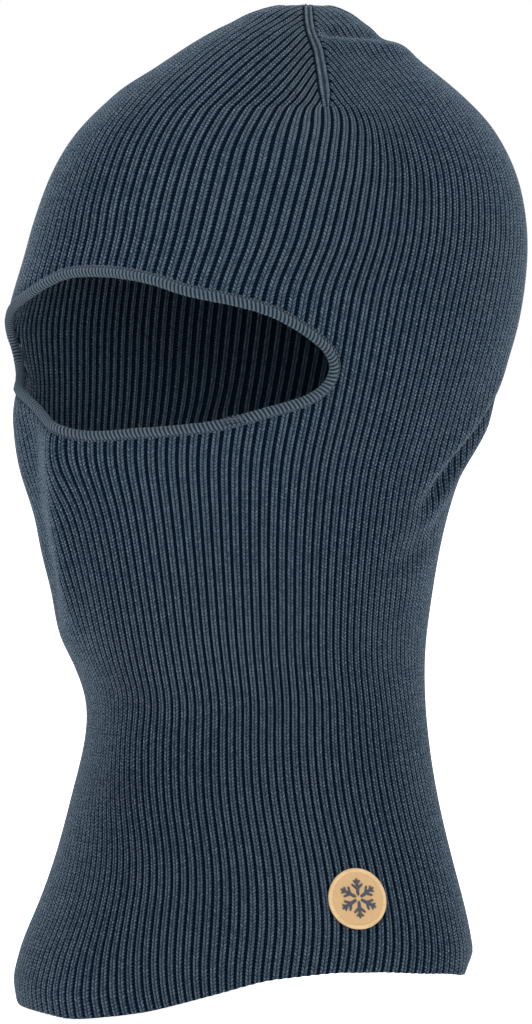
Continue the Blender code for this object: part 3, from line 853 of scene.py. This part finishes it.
MAT_KNIT = knit_material("rib_knit_navy")
# the gap colours of these yarns are painted shade between their strands
MAT_BIND = yarn_material(
    "binding_overcast_navy", light=(0.094, 0.124, 0.149, 1), dark=(0.020, 0.035, 0.050, 1),
    gap=(0.002, 0.006, 0.012, 1), bump=0.00026, sheen=0.2, spec=0.05)
MAT_SEAM = yarn_material(
    "linking_yarn_navy", light=(0.060, 0.085, 0.115, 1), dark=(0.028, 0.042, 0.062, 1),
    gap=(0.004, 0.007, 0.012, 1), bump=0.0002, sheen=0.25, spec=0.15)
MAT_TAN = thread_material(
    "embroidery_tan", light=(0.60, 0.385, 0.180, 1), dark=(0.40, 0.240, 0.105, 1), rough=0.55)
MAT_CORD = thread_material(
    "satin_border_pale_tan", light=(0.70, 0.485, 0.250, 1), dark=(0.48, 0.305, 0.145, 1),
    rough=0.45, rows_per_mm=2.4)
MAT_MOTIF = thread_material(
    "embroidery_navy", light=(0.050, 0.062, 0.088, 1), dark=(0.020, 0.027, 0.042, 1),
    rough=0.5, rows_per_mm=2.8)
MAT_LABEL = thread_material(
    "woven_label_white", light=(0.78, 0.78, 0.75, 1), dark=(0.66, 0.66, 0.63, 1),
    rough=0.6, rows_per_mm=3.5, spec=0.2)
MAT_FELT = thread_material(
    "stabiliser_felt_grey", light=(0.13, 0.13, 0.14, 1), dark=(0.07, 0.07, 0.08, 1),
    rough=0.95, rows_per_mm=1.2, spec=0.05)


# ---------------------------------------------------------------- ribs across a panel
def stations(pitch):
    """The ten stations across a rib, mm from its centre, for each local pitch."""
    half = np.asarray(pitch, float) / 2
    w = 0.71 * half                         # half width of the two legs
    return np.stack([-half, -w, -0.85 * w, -0.56 * w, -0.22 * w, np.zeros_like(half),
                     0.22 * w, 0.56 * w, 0.85 * w, w], -1)


def across_ribs(profile, n_ribs):
    """A rib's ten values repeated over the columns, closed with the first value."""
    return np.append(np.tile(profile, n_ribs), profile[0])


def rib_texture(n_ribs, first_rib):
    """Texture places across the ribs, outside and inside."""
    ribs = first_rib + np.arange(n_ribs + 1)[:, None] + 0.5
    return [(ribs + places).ravel()[:n_ribs * 10 + 1] for places in (OUT_ACROSS, IN_ACROSS)]


# ---------------------------------------------------------------- body panels
ROWS_LOW = np.concatenate([
    [0.0, 0.5, 1.1, 2.0], np.linspace(3.6, UP_SLIT - 3.2, int(112 * DETAIL)),
    [UP_SLIT - 2.2, UP_SLIT - 1.3, UP_SLIT - 0.6, UP_SLIT]])
ROWS_UP = np.concatenate([
    [UP_SLIT, UP_SLIT + 0.6, UP_SLIT + 1.3, UP_SLIT + 2.2],
    np.linspace(UP_SLIT + 3.4, UP_DART - 1.8, int(46 * DETAIL)),
    [UP_DART - 1.0, UP_DART - 0.4, UP_DART]])
PULL_REACH = {-1: 100.0, 1: 88.0}           # how far the opening pulls, down and up


def body_panel(name, first_rib, end_rib, bands, at_opening=False):
    """A run of ribs over bands of (rows, side); side is -1 below the slit, +1 above."""
    ribs = np.arange(first_rib, end_rib)
    n_ribs = len(ribs)
    slit_turn = turn_of_rib(np.arange(n_ribs * 10 + 1) / 10.0 + first_rib, UP_SLIT)
    outer, inner, along, shade = [], [], [], []
    for rows, side in bands:
        row = rows[:, None]
        rise = hem_rise(slit_turn)[None] * (1 - smooth((row - 5.0) / 80.0))
        pull = 1 - smooth(np.abs(row - UP_SLIT) / PULL_REACH[side])
        up = row + rise + slit_shift(slit_turn, side)[None] * pull
        rib_up = up[:, 5::10]
        pitch = (perimeter(rib_up) / N_RIBS) * rib_spread(ribs[None] + 0.5, rib_up)
        rib = np.full(up.shape, float(end_rib))
        offsets = stations(pitch) / pitch[..., None]
        rib[:, :-1] = (ribs[:, None] + 0.5 + offsets).reshape(len(rows), -1)
        turn = turn_of_rib(rib, up)
        # the ribs flatten within 3 mm of the opening
        full = np.ones(up.shape)
        if at_opening:
            edge = up[:1] if side > 0 else up[-1:]
            full = smooth(side * (up - edge) / 3.0)
        out = across_ribs(OUT_MM, n_ribs) * (0.25 + 0.75 * full) - 0.75 * (1 - full)
        inside = across_ribs(IN_MM, n_ribs) * full - 2.5 * (1 - full)
        # the hem thins and curls in, most at the back left
        hem = smooth(row / 1.6)
        angle = angle_of_turn(wrap(turn), HEM_UP)
        curl = (1.1 + 3.2 * bell(angle, 126.0, 20.0)) * (1 - smooth(row / 11.0)) ** 1.6
        outer.append(wall_point(turn, up, out - 0.55 * (1 - hem) - curl))
        inner.append(wall_point(turn, up, inside + 0.45 * (1 - hem) - curl))
        along.append(up / COURSE)
        shade.append(across_ribs(OUT_SHADE, n_ribs) * (0.5 + 0.5 * full) + 0.15 * (1 - full))
    obj = closed_sheet(name, np.concatenate(outer), np.concatenate(inner),
                       *rib_texture(n_ribs, first_rib), np.concatenate(along),
                       np.concatenate(shade), across_ribs(IN_SHADE, n_ribs), MAT_KNIT)
    place(obj, "knit_body")


def build_body():
    body_panel("hood_front_lower", RIB_RIGHT, RIB_LEFT, [(ROWS_LOW, -1)], at_opening=True)
    body_panel("hood_front_brow", RIB_RIGHT, RIB_LEFT, [(ROWS_UP, 1)], at_opening=True)
    # the rest goes round from the opening's left corner in four panels
    rest = N_RIBS - (RIB_LEFT - RIB_RIGHT)
    cuts = [RIB_LEFT + round(rest * i / 4) for i in range(5)]
    for i, tag in enumerate(("left_side", "left_back", "right_back", "right_side")):
        body_panel("hood_" + tag, cuts[i], cuts[i + 1], [(ROWS_LOW, -1), (ROWS_UP[1:], 1)])


# ---------------------------------------------------------------- crown
DARTS = (("front_left", DART_TURN), ("front_right", -DART_TURN),
         ("back_left", 3 * DART_TURN), ("back_right", -3 * DART_TURN))
CROWN_LENGTH = UP_TIP - UP_DART
TOP_RISE = 1 - 2.2 / CROWN_LENGTH           # the cloth stops short of the tip
HALF_RIBS = N_RIBS / HALF_GORES             # ribs in half a gore
INNER_RIBS = HALF_RIBS - 0.5                # without the dart's own
INNER_SHARE = INNER_RIBS / HALF_RIBS
# over the rise, 0 at the darts' feet and 1 at the tip: half widths in mm
RISE = np.linspace(0, 1, 800)
GORE_HALF = perimeter(UP_DART + RISE * CROWN_LENGTH) / HALF_GORES
FOOT_PITCH = GORE_HALF[0] / HALF_RIBS
rise_pull = DART_PULL * np.clip(1 - RISE / 0.3, 0, 1) ** 2
foot_half = GORE_HALF * (1 - INNER_SHARE - rise_pull / np.pi * np.sin(np.pi * INNER_SHARE))
rise_blend = smooth(RISE / 0.12)
STRAND_HALF = (foot_half * (1 - rise_blend)
               + np.minimum(2.15 - 0.6 * RISE, 0.45 * GORE_HALF) * rise_blend)
INNER_HALF = GORE_HALF - STRAND_HALF
NARROWING = np.minimum.accumulate(INNER_HALF / INNER_HALF[0])


def crown_gore(name, centre_turn):
    """The ribs between two darts, each ending where the narrowing gore cuts it off."""
    n_ribs = round(2 * INNER_RIBS)
    row = np.concatenate([[0, 0.005, 0.012], np.linspace(0.022, 1, int(60 * DETAIL))])[:, None]
    # each column's place, in ribs from the middle, at the foot
    ribs = -INNER_RIBS + np.arange(n_ribs) + 0.5
    foot_rib = (centre_turn + ribs / HALF_RIBS / HALF_GORES) * N_RIBS
    pitch = FOOT_PITCH * rib_spread(foot_rib, UP_DART)
    columns = np.append((ribs[:, None] + stations(pitch) / pitch[:, None]).ravel(), INNER_RIBS)
    end_rise = np.clip(np.interp(-np.abs(columns) / INNER_RIBS, -NARROWING, RISE), 0.0, TOP_RISE)
    rise = row * end_rise[None]
    inner_half = np.interp(rise, RISE, INNER_HALF)
    narrowing = np.interp(rise, RISE, NARROWING)
    # the pull towards the dart goes on smoothly above its foot, then dies away
    reach = bend_reach(HALF_RIBS - np.abs(columns[None]))
    t = np.clip(rise * CROWN_LENGTH / reach / 3.0, 0, 1)
    pull = DART_PULL * (2 * t ** 3 - 3 * t ** 2 + 1 + 6 * (t ** 3 - 2 * t ** 2 + t))
    x = np.clip(columns[None] / INNER_RIBS / np.maximum(narrowing, 1e-6), -1, 1) * INNER_SHARE
    share = ((x + pull / np.pi * np.sin(np.pi * x))
             / (INNER_SHARE + pull / np.pi * np.sin(np.pi * INNER_SHARE)))
    aside = inner_half * share
    up = UP_DART + rise * CROWN_LENGTH
    turn = centre_turn + aside / np.maximum(perimeter(up), 1e-3)
    turn = turn + lean(wrap(turn), up)
    # above the foot, ribs die into the furrow beside the dart's strands
    full = smooth(inner_half - np.abs(aside) + 0.05)
    full = 1 - (1 - full) * smooth(rise * CROWN_LENGTH / 3.0)
    out = across_ribs(OUT_MM, n_ribs) * full + OUT_MM[0] * (1 - full)
    obj = closed_sheet(name, wall_point(turn, up, out),
                       wall_point(turn, up, across_ribs(IN_MM, n_ribs)),
                       *rib_texture(n_ribs, round(centre_turn * N_RIBS - INNER_RIBS)),
                       up / COURSE, across_ribs(OUT_SHADE, n_ribs) * full + (1 - full),
                       across_ribs(IN_SHADE, n_ribs), MAT_KNIT)
    place(obj, "knit_body")


def mirrored(column, sign=1):
    return np.concatenate([sign * column[::-1], column[1:]])


def dart_strands(name, dart_turn):
    """The two strands that run side by side along a dart, up to the tip."""
    share, height, shade, across, inside = STRAND.T
    share = mirrored(share, -1)
    across = 0.5 + mirrored(across, -1)
    rise = np.linspace(0, TOP_RISE, int(96 * DETAIL))[:, None]
    half = np.interp(rise, RISE, STRAND_HALF)
    aside = share[None] * half
    up = UP_DART + rise * CROWN_LENGTH + 0 * aside
    turn = dart_turn + aside / np.maximum(perimeter(up), 1e-3)
    turn = turn + lean(turn, up)
    # at its foot the pair is still one plain rib
    foot_half_width = STRAND_HALF[0]
    foot = np.interp(np.abs(share) * foot_half_width,
                     np.append(stations(2 * foot_half_width)[5:], foot_half_width),
                     np.append(OUT_MM[5:], OUT_MM[0]))
    formed = smooth(rise * CROWN_LENGTH / 9.0)
    # near the top one strand rides up over the other
    lift = 0.45 * smooth((rise - 0.35) / 0.4) * bell(share[None], -0.45, 0.35)
    size = np.clip(half / 1.5, 0.35, 1.0)
    out = foot[None] * (1 - formed) + mirrored(height)[None] * size * formed + lift
    obj = closed_sheet(name, wall_point(turn, up, out), wall_point(turn, up, mirrored(inside)),
                       across, across, up / COURSE, mirrored(shade), 0.5, MAT_KNIT)
    place(obj, "knit_body")


def build_crown():
    for tag, centre_turn in (("front", 0.0), ("left", 0.25), ("back", 0.5), ("right", -0.25)):
        crown_gore("crown_gore_" + tag, centre_turn)
    for tag, dart_turn in DARTS:
        dart_strands("crown_edge_ribs_" + tag, dart_turn)


# ---------------------------------------------------------------- face binding
BINDING_OFFSET = 1.65                       # opening's outline to the roll's middle
BINDING_OUT = -1.05
STITCH = 1.55                               # length of an overcast stitch
STITCH_SLANT = -0.4
N_BINDING = 2200


def overcast(phi, along, total):
    """Swell of the overcast stitches, with a slow unevenness along the roll."""
    phase = along / total * round(total / STITCH) + STITCH_SLANT * np.cos(phi)
    return (0.24 * (np.abs(np.sin(np.pi * phase)) ** 0.7 - 0.6)
            + 0.05 * np.sin(along * 0.9) * np.sin(along * 0.23))


def build_binding_roll(outline):
    path = wall_path(outline[:, 0], outline[:, 1], BINDING_OUT, closed=True)
    obj = sweep("binding_roll", path, 1.62, MAT_BIND, sides=22, closed=True, ply=STITCH,
                flat=(1.02, 1.0), wobble=overcast, slant=STITCH_SLANT)
    place(obj, "face_binding")


def build_binding_thread():
    """The linking thread between binding and hood."""
    outline = opening_outline(1600, 3.55)
    path = wall_path(outline[:, 0], outline[:, 1], -0.62, closed=True)
    obj = sweep("binding_linking_thread", path, 0.42, MAT_SEAM, closed=True, ply=1.3, twist=0.12)
    place(obj, "face_binding_seam")


def build_binding_join(outline):
    """Whipping where the binding's ends meet, low on the opening's left."""
    angle, length, turns = 37.8, 7.5, 4.5
    is_top = ~(outline[:, 1] < UP_SLIT)
    off = np.abs(angle_of_turn(outline[:, 0], UP_SLIT) - angle)
    middle = int(np.argmin(off + 1e3 * is_top))
    stretch = wall_point(outline[:200, 0], outline[:200, 1], 0.0)
    span = int(round(length / np.mean(np.linalg.norm(np.diff(stretch, axis=0), axis=1))))
    t = np.linspace(0, 1, 150)
    index = (middle - span / 2 + t * span) % N_BINDING
    turn, up = (np.interp(index, np.arange(N_BINDING), outline[:, i]) for i in (0, 1))
    centre, normal, sideways = wall_path(turn, up, BINDING_OUT)
    wind = 2 * np.pi * turns * t + 0.4
    radius = 1.78 + 0.10 * np.sin(np.pi * t)
    helix = (centre + normal * (np.sin(wind) * radius)[:, None]
             + sideways * (np.cos(wind) * radius)[:, None])
    outward = normal * np.sin(wind)[:, None] + sideways * np.cos(wind)[:, None]
    thickness = 0.36 * np.sin(np.pi * np.clip(t, 0.02, 0.98)) ** 0.3
    obj = sweep("binding_join_whipping", (helix, *path_frames(helix, outward, False)),
                thickness, MAT_BIND, ply=0.9)
    place(obj, "face_binding_join")


# ---------------------------------------------------------------- seams and closure
def swaying_seam(name, node, turn, up, out, sway, sway_length, radius, ply):
    """A linking yarn up the wall that sways from side to side."""
    centre, normal, sideways = wall_path(turn, up, out)
    centre = centre + sideways * (np.sin(2 * np.pi * up / sway_length) * sway)[:, None]
    obj = sweep(name, (centre, normal, sideways), radius, MAT_SEAM, ply=ply, twist=0.10)
    place(obj, node)


def build_seams():
    # down in the crown darts
    up = np.linspace(UP_DART - 1.0, UP_TIP - 3.2, 260)
    for tag, dart_turn in DARTS:
        swaying_seam("dart_linking_yarn_" + tag, "crown_seam_" + tag,
                     dart_turn + lean(dart_turn, up), up,
                     out=-1.45 + 0.10 * smooth((up - UP_DART) / 10),
                     sway=0.16, sway_length=2.4, radius=0.30, ply=1.4)
    # up the back, inside the hood
    up = np.linspace(up_of_height(61), up_of_height(329), 900)
    swaying_seam("back_linking_chain", "back_seam", 0.5, up, out=-3.45,
                 sway=0.28, sway_length=2.6, radius=0.5, ply=1.3)


def build_closure():
    """Lobes of gathered yarn over the tip, round a pit."""
    radius, n_lobes = 3.7, 8
    tip = wall_point(0.0, UP_TIP, 0.0)
    share = np.linspace(0, 1, 26)[:, None]
    angle = np.linspace(0, 2 * np.pi, 96, endpoint=False)[None]
    lobe = 0.5 + 0.5 * np.cos(n_lobes * angle + 1.2 * share)
    r = radius * share * (1 + 0.10 * (lobe - 0.5) * share)
    height = (0.75 * np.sin(np.pi * share ** 0.8) ** 0.8
              * (0.75 + 0.5 * lobe * smooth(share * 2)) - 0.9 * smooth((share - 0.7) / 0.3))
    x, y = tip[0] + r * np.cos(angle), tip[1] + r * np.sin(angle)
    top = np.stack([x, y, tip[2] - 0.45 + height], -1)
    bottom = np.stack([x, y, np.full_like(x, tip[2] - 1.6)], -1)
    uv = np.stack(np.broadcast_arrays(angle / (2 * np.pi) * 16, share * 3), -1)
    obj = closed_disc("crown_gathering_yarn", top, bottom, uv, MAT_SEAM)
    place(obj, "crown_closure")


# ---------------------------------------------------------------- emblem
PATCH_UP = up_of_height(47.5)
PATCH_TURN = turn_of_angle(62.0, PATCH_UP)
PATCH_PERIMETER = perimeter(PATCH_UP)
BORDER_RADIUS = 10.15
# side bars of a star's arm: start and end along the arm, reach aside, half widths
STAR_SPURS = ((3.3, 5.2, 2.1, 0.46, 0.38), (5.3, 6.5, 1.3, 0.38, 0.30))


def on_patch(x, y, out):
    return wall_point(PATCH_TURN + x / PATCH_PERIMETER, PATCH_UP + y, out)


def patch_disc(name, radius, top_out, bottom_out, n_rings, sides, mat, dome=0.0):
    """A disc that follows the wall, its threads laid at a slant."""
    share = np.linspace(0, 1, n_rings)[:, None]
    angle = np.linspace(0, 2 * np.pi, sides, endpoint=False)[None]
    x, y = radius * share * np.cos(angle), radius * share * np.sin(angle)
    rim_drop = (1 - smooth((1 - share) / 0.08)) * 0.3
    top = on_patch(x, y, top_out - rim_drop + dome * (1 - share ** 2))
    tilt = 0.6
    cosine, sine = math.cos(tilt), math.sin(tilt)
    uv = np.stack([x * cosine + y * sine, -x * sine + y * cosine], -1)
    return closed_disc(name, top, on_patch(x, y, bottom_out), uv, mat)


def build_patch_border():
    n_stitches = 150
    angle = np.linspace(0, 2 * np.pi, 900, endpoint=False)
    path = wall_path(PATCH_TURN + BORDER_RADIUS * np.cos(angle) / PATCH_PERIMETER,
                     PATCH_UP + BORDER_RADIUS * np.sin(angle), 0.55, closed=True)

    def stitches(phi, along, total):
        return 0.05 * np.cos(2 * np.pi * n_stitches * along / total + 0.6 * np.cos(phi))

    obj = sweep("patch_satin_edge", path, 0.86, MAT_CORD, sides=14, closed=True, ply=0.45,
                flat=(1.0, 0.85), wobble=stitches, uv_scale=0.42)
    place(obj, "emblem_border")


def satin_bar(start, end, start_half, end_half, out):
    """Grid and uv of a raised satin bar on the patch, from one point to another."""
    t = np.linspace(0, 1, 40)[:, None]
    angle = np.linspace(0, 2 * np.pi, 14, endpoint=False)[None]
    length = math.hypot(*(end - start))
    dx, dy = (end - start) / length
    rounding = np.sqrt(np.clip(1 - (2 * np.abs(t - 0.5)) ** 6, 0.0, 1))
    half = (start_half + (end_half - start_half) * t) * rounding + 0.01
    half = half * (1 + 0.05 * np.sin(2 * np.pi * t * length / 0.42))
    across = half * np.cos(angle)
    points = on_patch(start[0] + dx * length * t - dy * across,
                      start[1] + dy * length * t + dx * across,
                      out + 0.34 * rounding * np.sin(angle))
    return points, np.stack(np.broadcast_arrays(across, length * t), -1)


def build_star():
    """Six arms, each with two pairs of side bars."""
    bars = []
    for k in range(6):
        angle = math.radians(60 * k + 90)
        arm = np.array([math.cos(angle), math.sin(angle)])
        side = np.array([-arm[1], arm[0]])
        bars.append(satin_bar(arm * 0.9, arm * 7.3, 0.62, 0.50, out=1.30))
        for sign in (-1, 1):
            for start, end, aside, start_half, end_half in STAR_SPURS:
                bars.append(satin_bar(arm * start, arm * end + sign * side * aside,
                                      start_half, end_half, out=1.27))
    verts, quads, tris, uvs = [], [], [], []
    base = 0
    for points, uv in bars:
        n, m = points.shape[:2]
        first = base + np.arange(m)
        cap = base + n * m
        verts += [points.reshape(-1, 3), np.stack([points[0].mean(0), points[-1].mean(0)])]
        uvs += [uv.reshape(-1, 2), np.zeros((2, 2))]
        quads.append(grid_quads(n, m, base=base, wrapped=True))
        tris += [fan(cap, first, flip=True), fan(cap + 1, first + (n - 1) * m)]
        base = cap + 2
    obj = mesh_object("patch_snow_star", np.concatenate(verts), np.concatenate(quads),
                      np.concatenate(uvs), MAT_MOTIF, np.concatenate(tris))
    place(obj, "emblem_motif")


def build_emblem():
    obj = patch_disc("patch_fill", 10.1, top_out=1.05, bottom_out=-0.5, n_rings=60, sides=128,
                     mat=MAT_TAN, dome=0.12)
    place(obj, "emblem_ground")
    build_patch_border()
    build_star()
    obj = patch_disc("patch_stabiliser", 10.3, top_out=-3.15, bottom_out=-3.75, n_rings=30,
                     sides=96, mat=MAT_FELT)
    place(obj, "emblem_backing")


# ---------------------------------------------------------------- labels
def box_mm(node):
    return [np.array(corner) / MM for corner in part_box(node)]


def ribbon_loop(name, node, thickness):
    """A folded ribbon in its CAD box: down one leaf, round the fold, up the other."""
    low, high = box_mm(node)
    leaf = (high[2] - low[2]) * 0.985
    gap = (high[1] - low[1]) / 2 - thickness / 2
    n = 46
    path = [(gap, -leaf * i / (n - 1)) for i in range(n)]
    path += [(gap * math.cos(math.pi * i / 12), -leaf - gap * math.sin(math.pi * i / 12))
             for i in range(1, 12)]
    path += [(-gap, -leaf + leaf * i / (n - 1)) for i in range(n)]
    path = np.array(path)
    tangent = np.gradient(path, axis=0)
    tangent /= np.linalg.norm(tangent, axis=1, keepdims=True)
    normal = np.stack([tangent[:, 1], -tangent[:, 0]], 1)
    x = np.linspace(low[0], high[0], 28)[None]
    faces = []
    for side in (0.5, -0.5):
        y, z = (path + normal * thickness * side).T[:, :, None]
        wave = 0.05 * np.sin(x / 4.0) * smooth(-z / 20.0)
        faces.append(np.stack(np.broadcast_arrays(
            x, (low[1] + high[1]) / 2 + y + wave, high[2] + z), -1))
    along = np.arange(len(path))[:, None] * 0.7
    obj = closed_sheet(name, *faces, x, x, along, 0.0, 0.0, MAT_LABEL)
    place(obj, node, rides="label")


def build_lockstitch():
    """A running stitch over the label's edge, weaving fore and aft."""
    low, high = box_mm("label_stitching")
    x = np.linspace(low[0], high[0], 420)
    y = (low[1] + high[1]) / 2 + 0.55 + 0.75 * np.sin(2 * np.pi * x / 2.6)
    centre = np.stack([x, y, np.full_like(x, (low[2] + high[2]) / 2)], 1)
    forward = np.tile(np.array([0, -1.0, 0]), (len(x), 1))
    obj = sweep("label_lockstitch", (centre, *path_frames(centre, forward, False)), 0.26,
                MAT_SEAM, ply=0.9)
    place(obj, "label_stitching")


# ---------------------------------------------------------------- studio, in metres
CAMERA_DISTANCE = 2.0
VIEW_WIDTH = 0.37925926                     # width seen at the hood
SENSOR_WIDTH = 36.0
CAMERA_ANGLE, CAMERA_LIFT = math.radians(37.0), math.radians(2.0)
VIEW_RIGHT = Vector((math.cos(CAMERA_ANGLE), math.sin(CAMERA_ANGLE), 0))
TO_CAMERA = Vector((math.sin(CAMERA_ANGLE) * math.cos(CAMERA_LIFT),
                    -math.cos(CAMERA_ANGLE) * math.cos(CAMERA_LIFT), math.sin(CAMERA_LIFT)))
AIM = VIEW_RIGHT * 0.0018 + Vector((0, 0, 0.1833))
# name, distance from the aim towards the camera, to the view's right, up, size, watts
SOFTBOXES = (("key_softbox", 1.5, -1.2, 0.9, 1.0, 9.0),
             ("front_softbox", 2.3, 0.0, 0.25, 0.9, 13.0),
             ("fill_softbox", 1.2, 1.5, 0.5, 1.0, 7.0))


def build_world(scene):
    """White to the camera, a softer and slightly cool light to everything else."""
    scene.view_settings.view_transform = 'Standard'
    scene.view_settings.look = 'None'
    world = bpy.data.worlds.new("studio") if scene.world is None else scene.world
    scene.world = world
    world.use_nodes = True
    world.node_tree.nodes.clear()
    b = NodeBuilder(world.node_tree)
    backgrounds = []
    for color, strength in (((1.0, 1.0, 1.0, 1), 1.0), ((0.97, 1.0, 1.03, 1), 0.80)):
        background = b.node("ShaderNodeBackground")
        background.inputs[0].default_value = color
        background.inputs[1].default_value = strength
        backgrounds.append(background.outputs[0])
    seen, lighting = backgrounds
    mix = b.node("ShaderNodeMixShader")
    b.link(b.node("ShaderNodeLightPath").outputs["Is Camera Ray"], mix.inputs[0])
    b.link(lighting, mix.inputs[1])
    b.link(seen, mix.inputs[2])
    b.link(mix.outputs[0], b.node("ShaderNodeOutputWorld").inputs[0])


def build_floor(scene):
    """A large glowing white floor just under the hem."""
    half, z = 14.0, -0.0004
    material, b = new_material("studio_floor")
    diffuse = b.node("ShaderNodeBsdfDiffuse")
    diffuse.inputs[0].default_value = (0.72, 0.72, 0.72, 1)
    glow = b.node("ShaderNodeEmission")
    glow.inputs[0].default_value = (1, 1, 1, 1)
    glow.inputs[1].default_value = 0.98
    both = b.node("ShaderNodeAddShader")
    b.link(diffuse.outputs[0], both.inputs[0])
    b.link(glow.outputs[0], both.inputs[1])
    b.link(both.outputs[0], b.node("ShaderNodeOutputMaterial").inputs[0])
    mesh = bpy.data.meshes.new("studio_floor")
    corners = [(-half, -half, z), (half, -half, z), (half, half, z), (-half, half, z)]
    mesh.from_pydata(corners, [], [(0, 1, 2, 3)])
    mesh.materials.append(material)
    floor = bpy.data.objects.new("studio_floor", mesh)
    scene.collection.objects.link(floor)


def softbox(scene, name, location, aim, size, watts):
    light = bpy.data.lights.new(name, 'AREA')
    light.shape = 'DISK'
    light.size = size
    light.energy = watts
    obj = bpy.data.objects.new(name, light)
    obj.location = location
    obj.rotation_euler = (Vector(aim) - Vector(location)).to_track_quat('-Z', 'Y').to_euler()
    scene.collection.objects.link(obj)


def build_lights(scene):
    softbox(scene, "top_softbox", (0, 0, 1.9), (0, 0, 0.2), size=1.6, watts=24.0)
    for name, towards, right, up, size, watts in SOFTBOXES:
        location = AIM + TO_CAMERA * towards + VIEW_RIGHT * right + Vector((0, 0, up))
        softbox(scene, name, location, AIM, size, watts)


def build_camera(scene):
    data = bpy.data.cameras.new("camera")
    data.sensor_width = SENSOR_WIDTH
    data.lens = SENSOR_WIDTH * CAMERA_DISTANCE / VIEW_WIDTH
    data.clip_start = 0.05
    camera = bpy.data.objects.new("camera", data)
    camera.location = AIM + TO_CAMERA * CAMERA_DISTANCE
    camera.rotation_euler = (-TO_CAMERA).to_track_quat('-Z', 'Y').to_euler()
    scene.collection.objects.link(camera)
    scene.camera = camera


# ---------------------------------------------------------------- build
build_body()
build_crown()
binding_outline = opening_outline(N_BINDING, BINDING_OFFSET)
build_binding_roll(binding_outline)
build_binding_thread()
build_binding_join(binding_outline)
build_seams()
build_closure()
build_emblem()
ribbon_loop("care_label_ribbon", "care_label", thickness=0.22)
ribbon_loop("size_tab_ribbon", "size_tab", thickness=0.2)
build_lockstitch()
build_world(bpy.context.scene)
build_floor(bpy.context.scene)
build_lights(bpy.context.scene)
build_camera(bpy.context.scene)

bpy.context.view_layer.update()
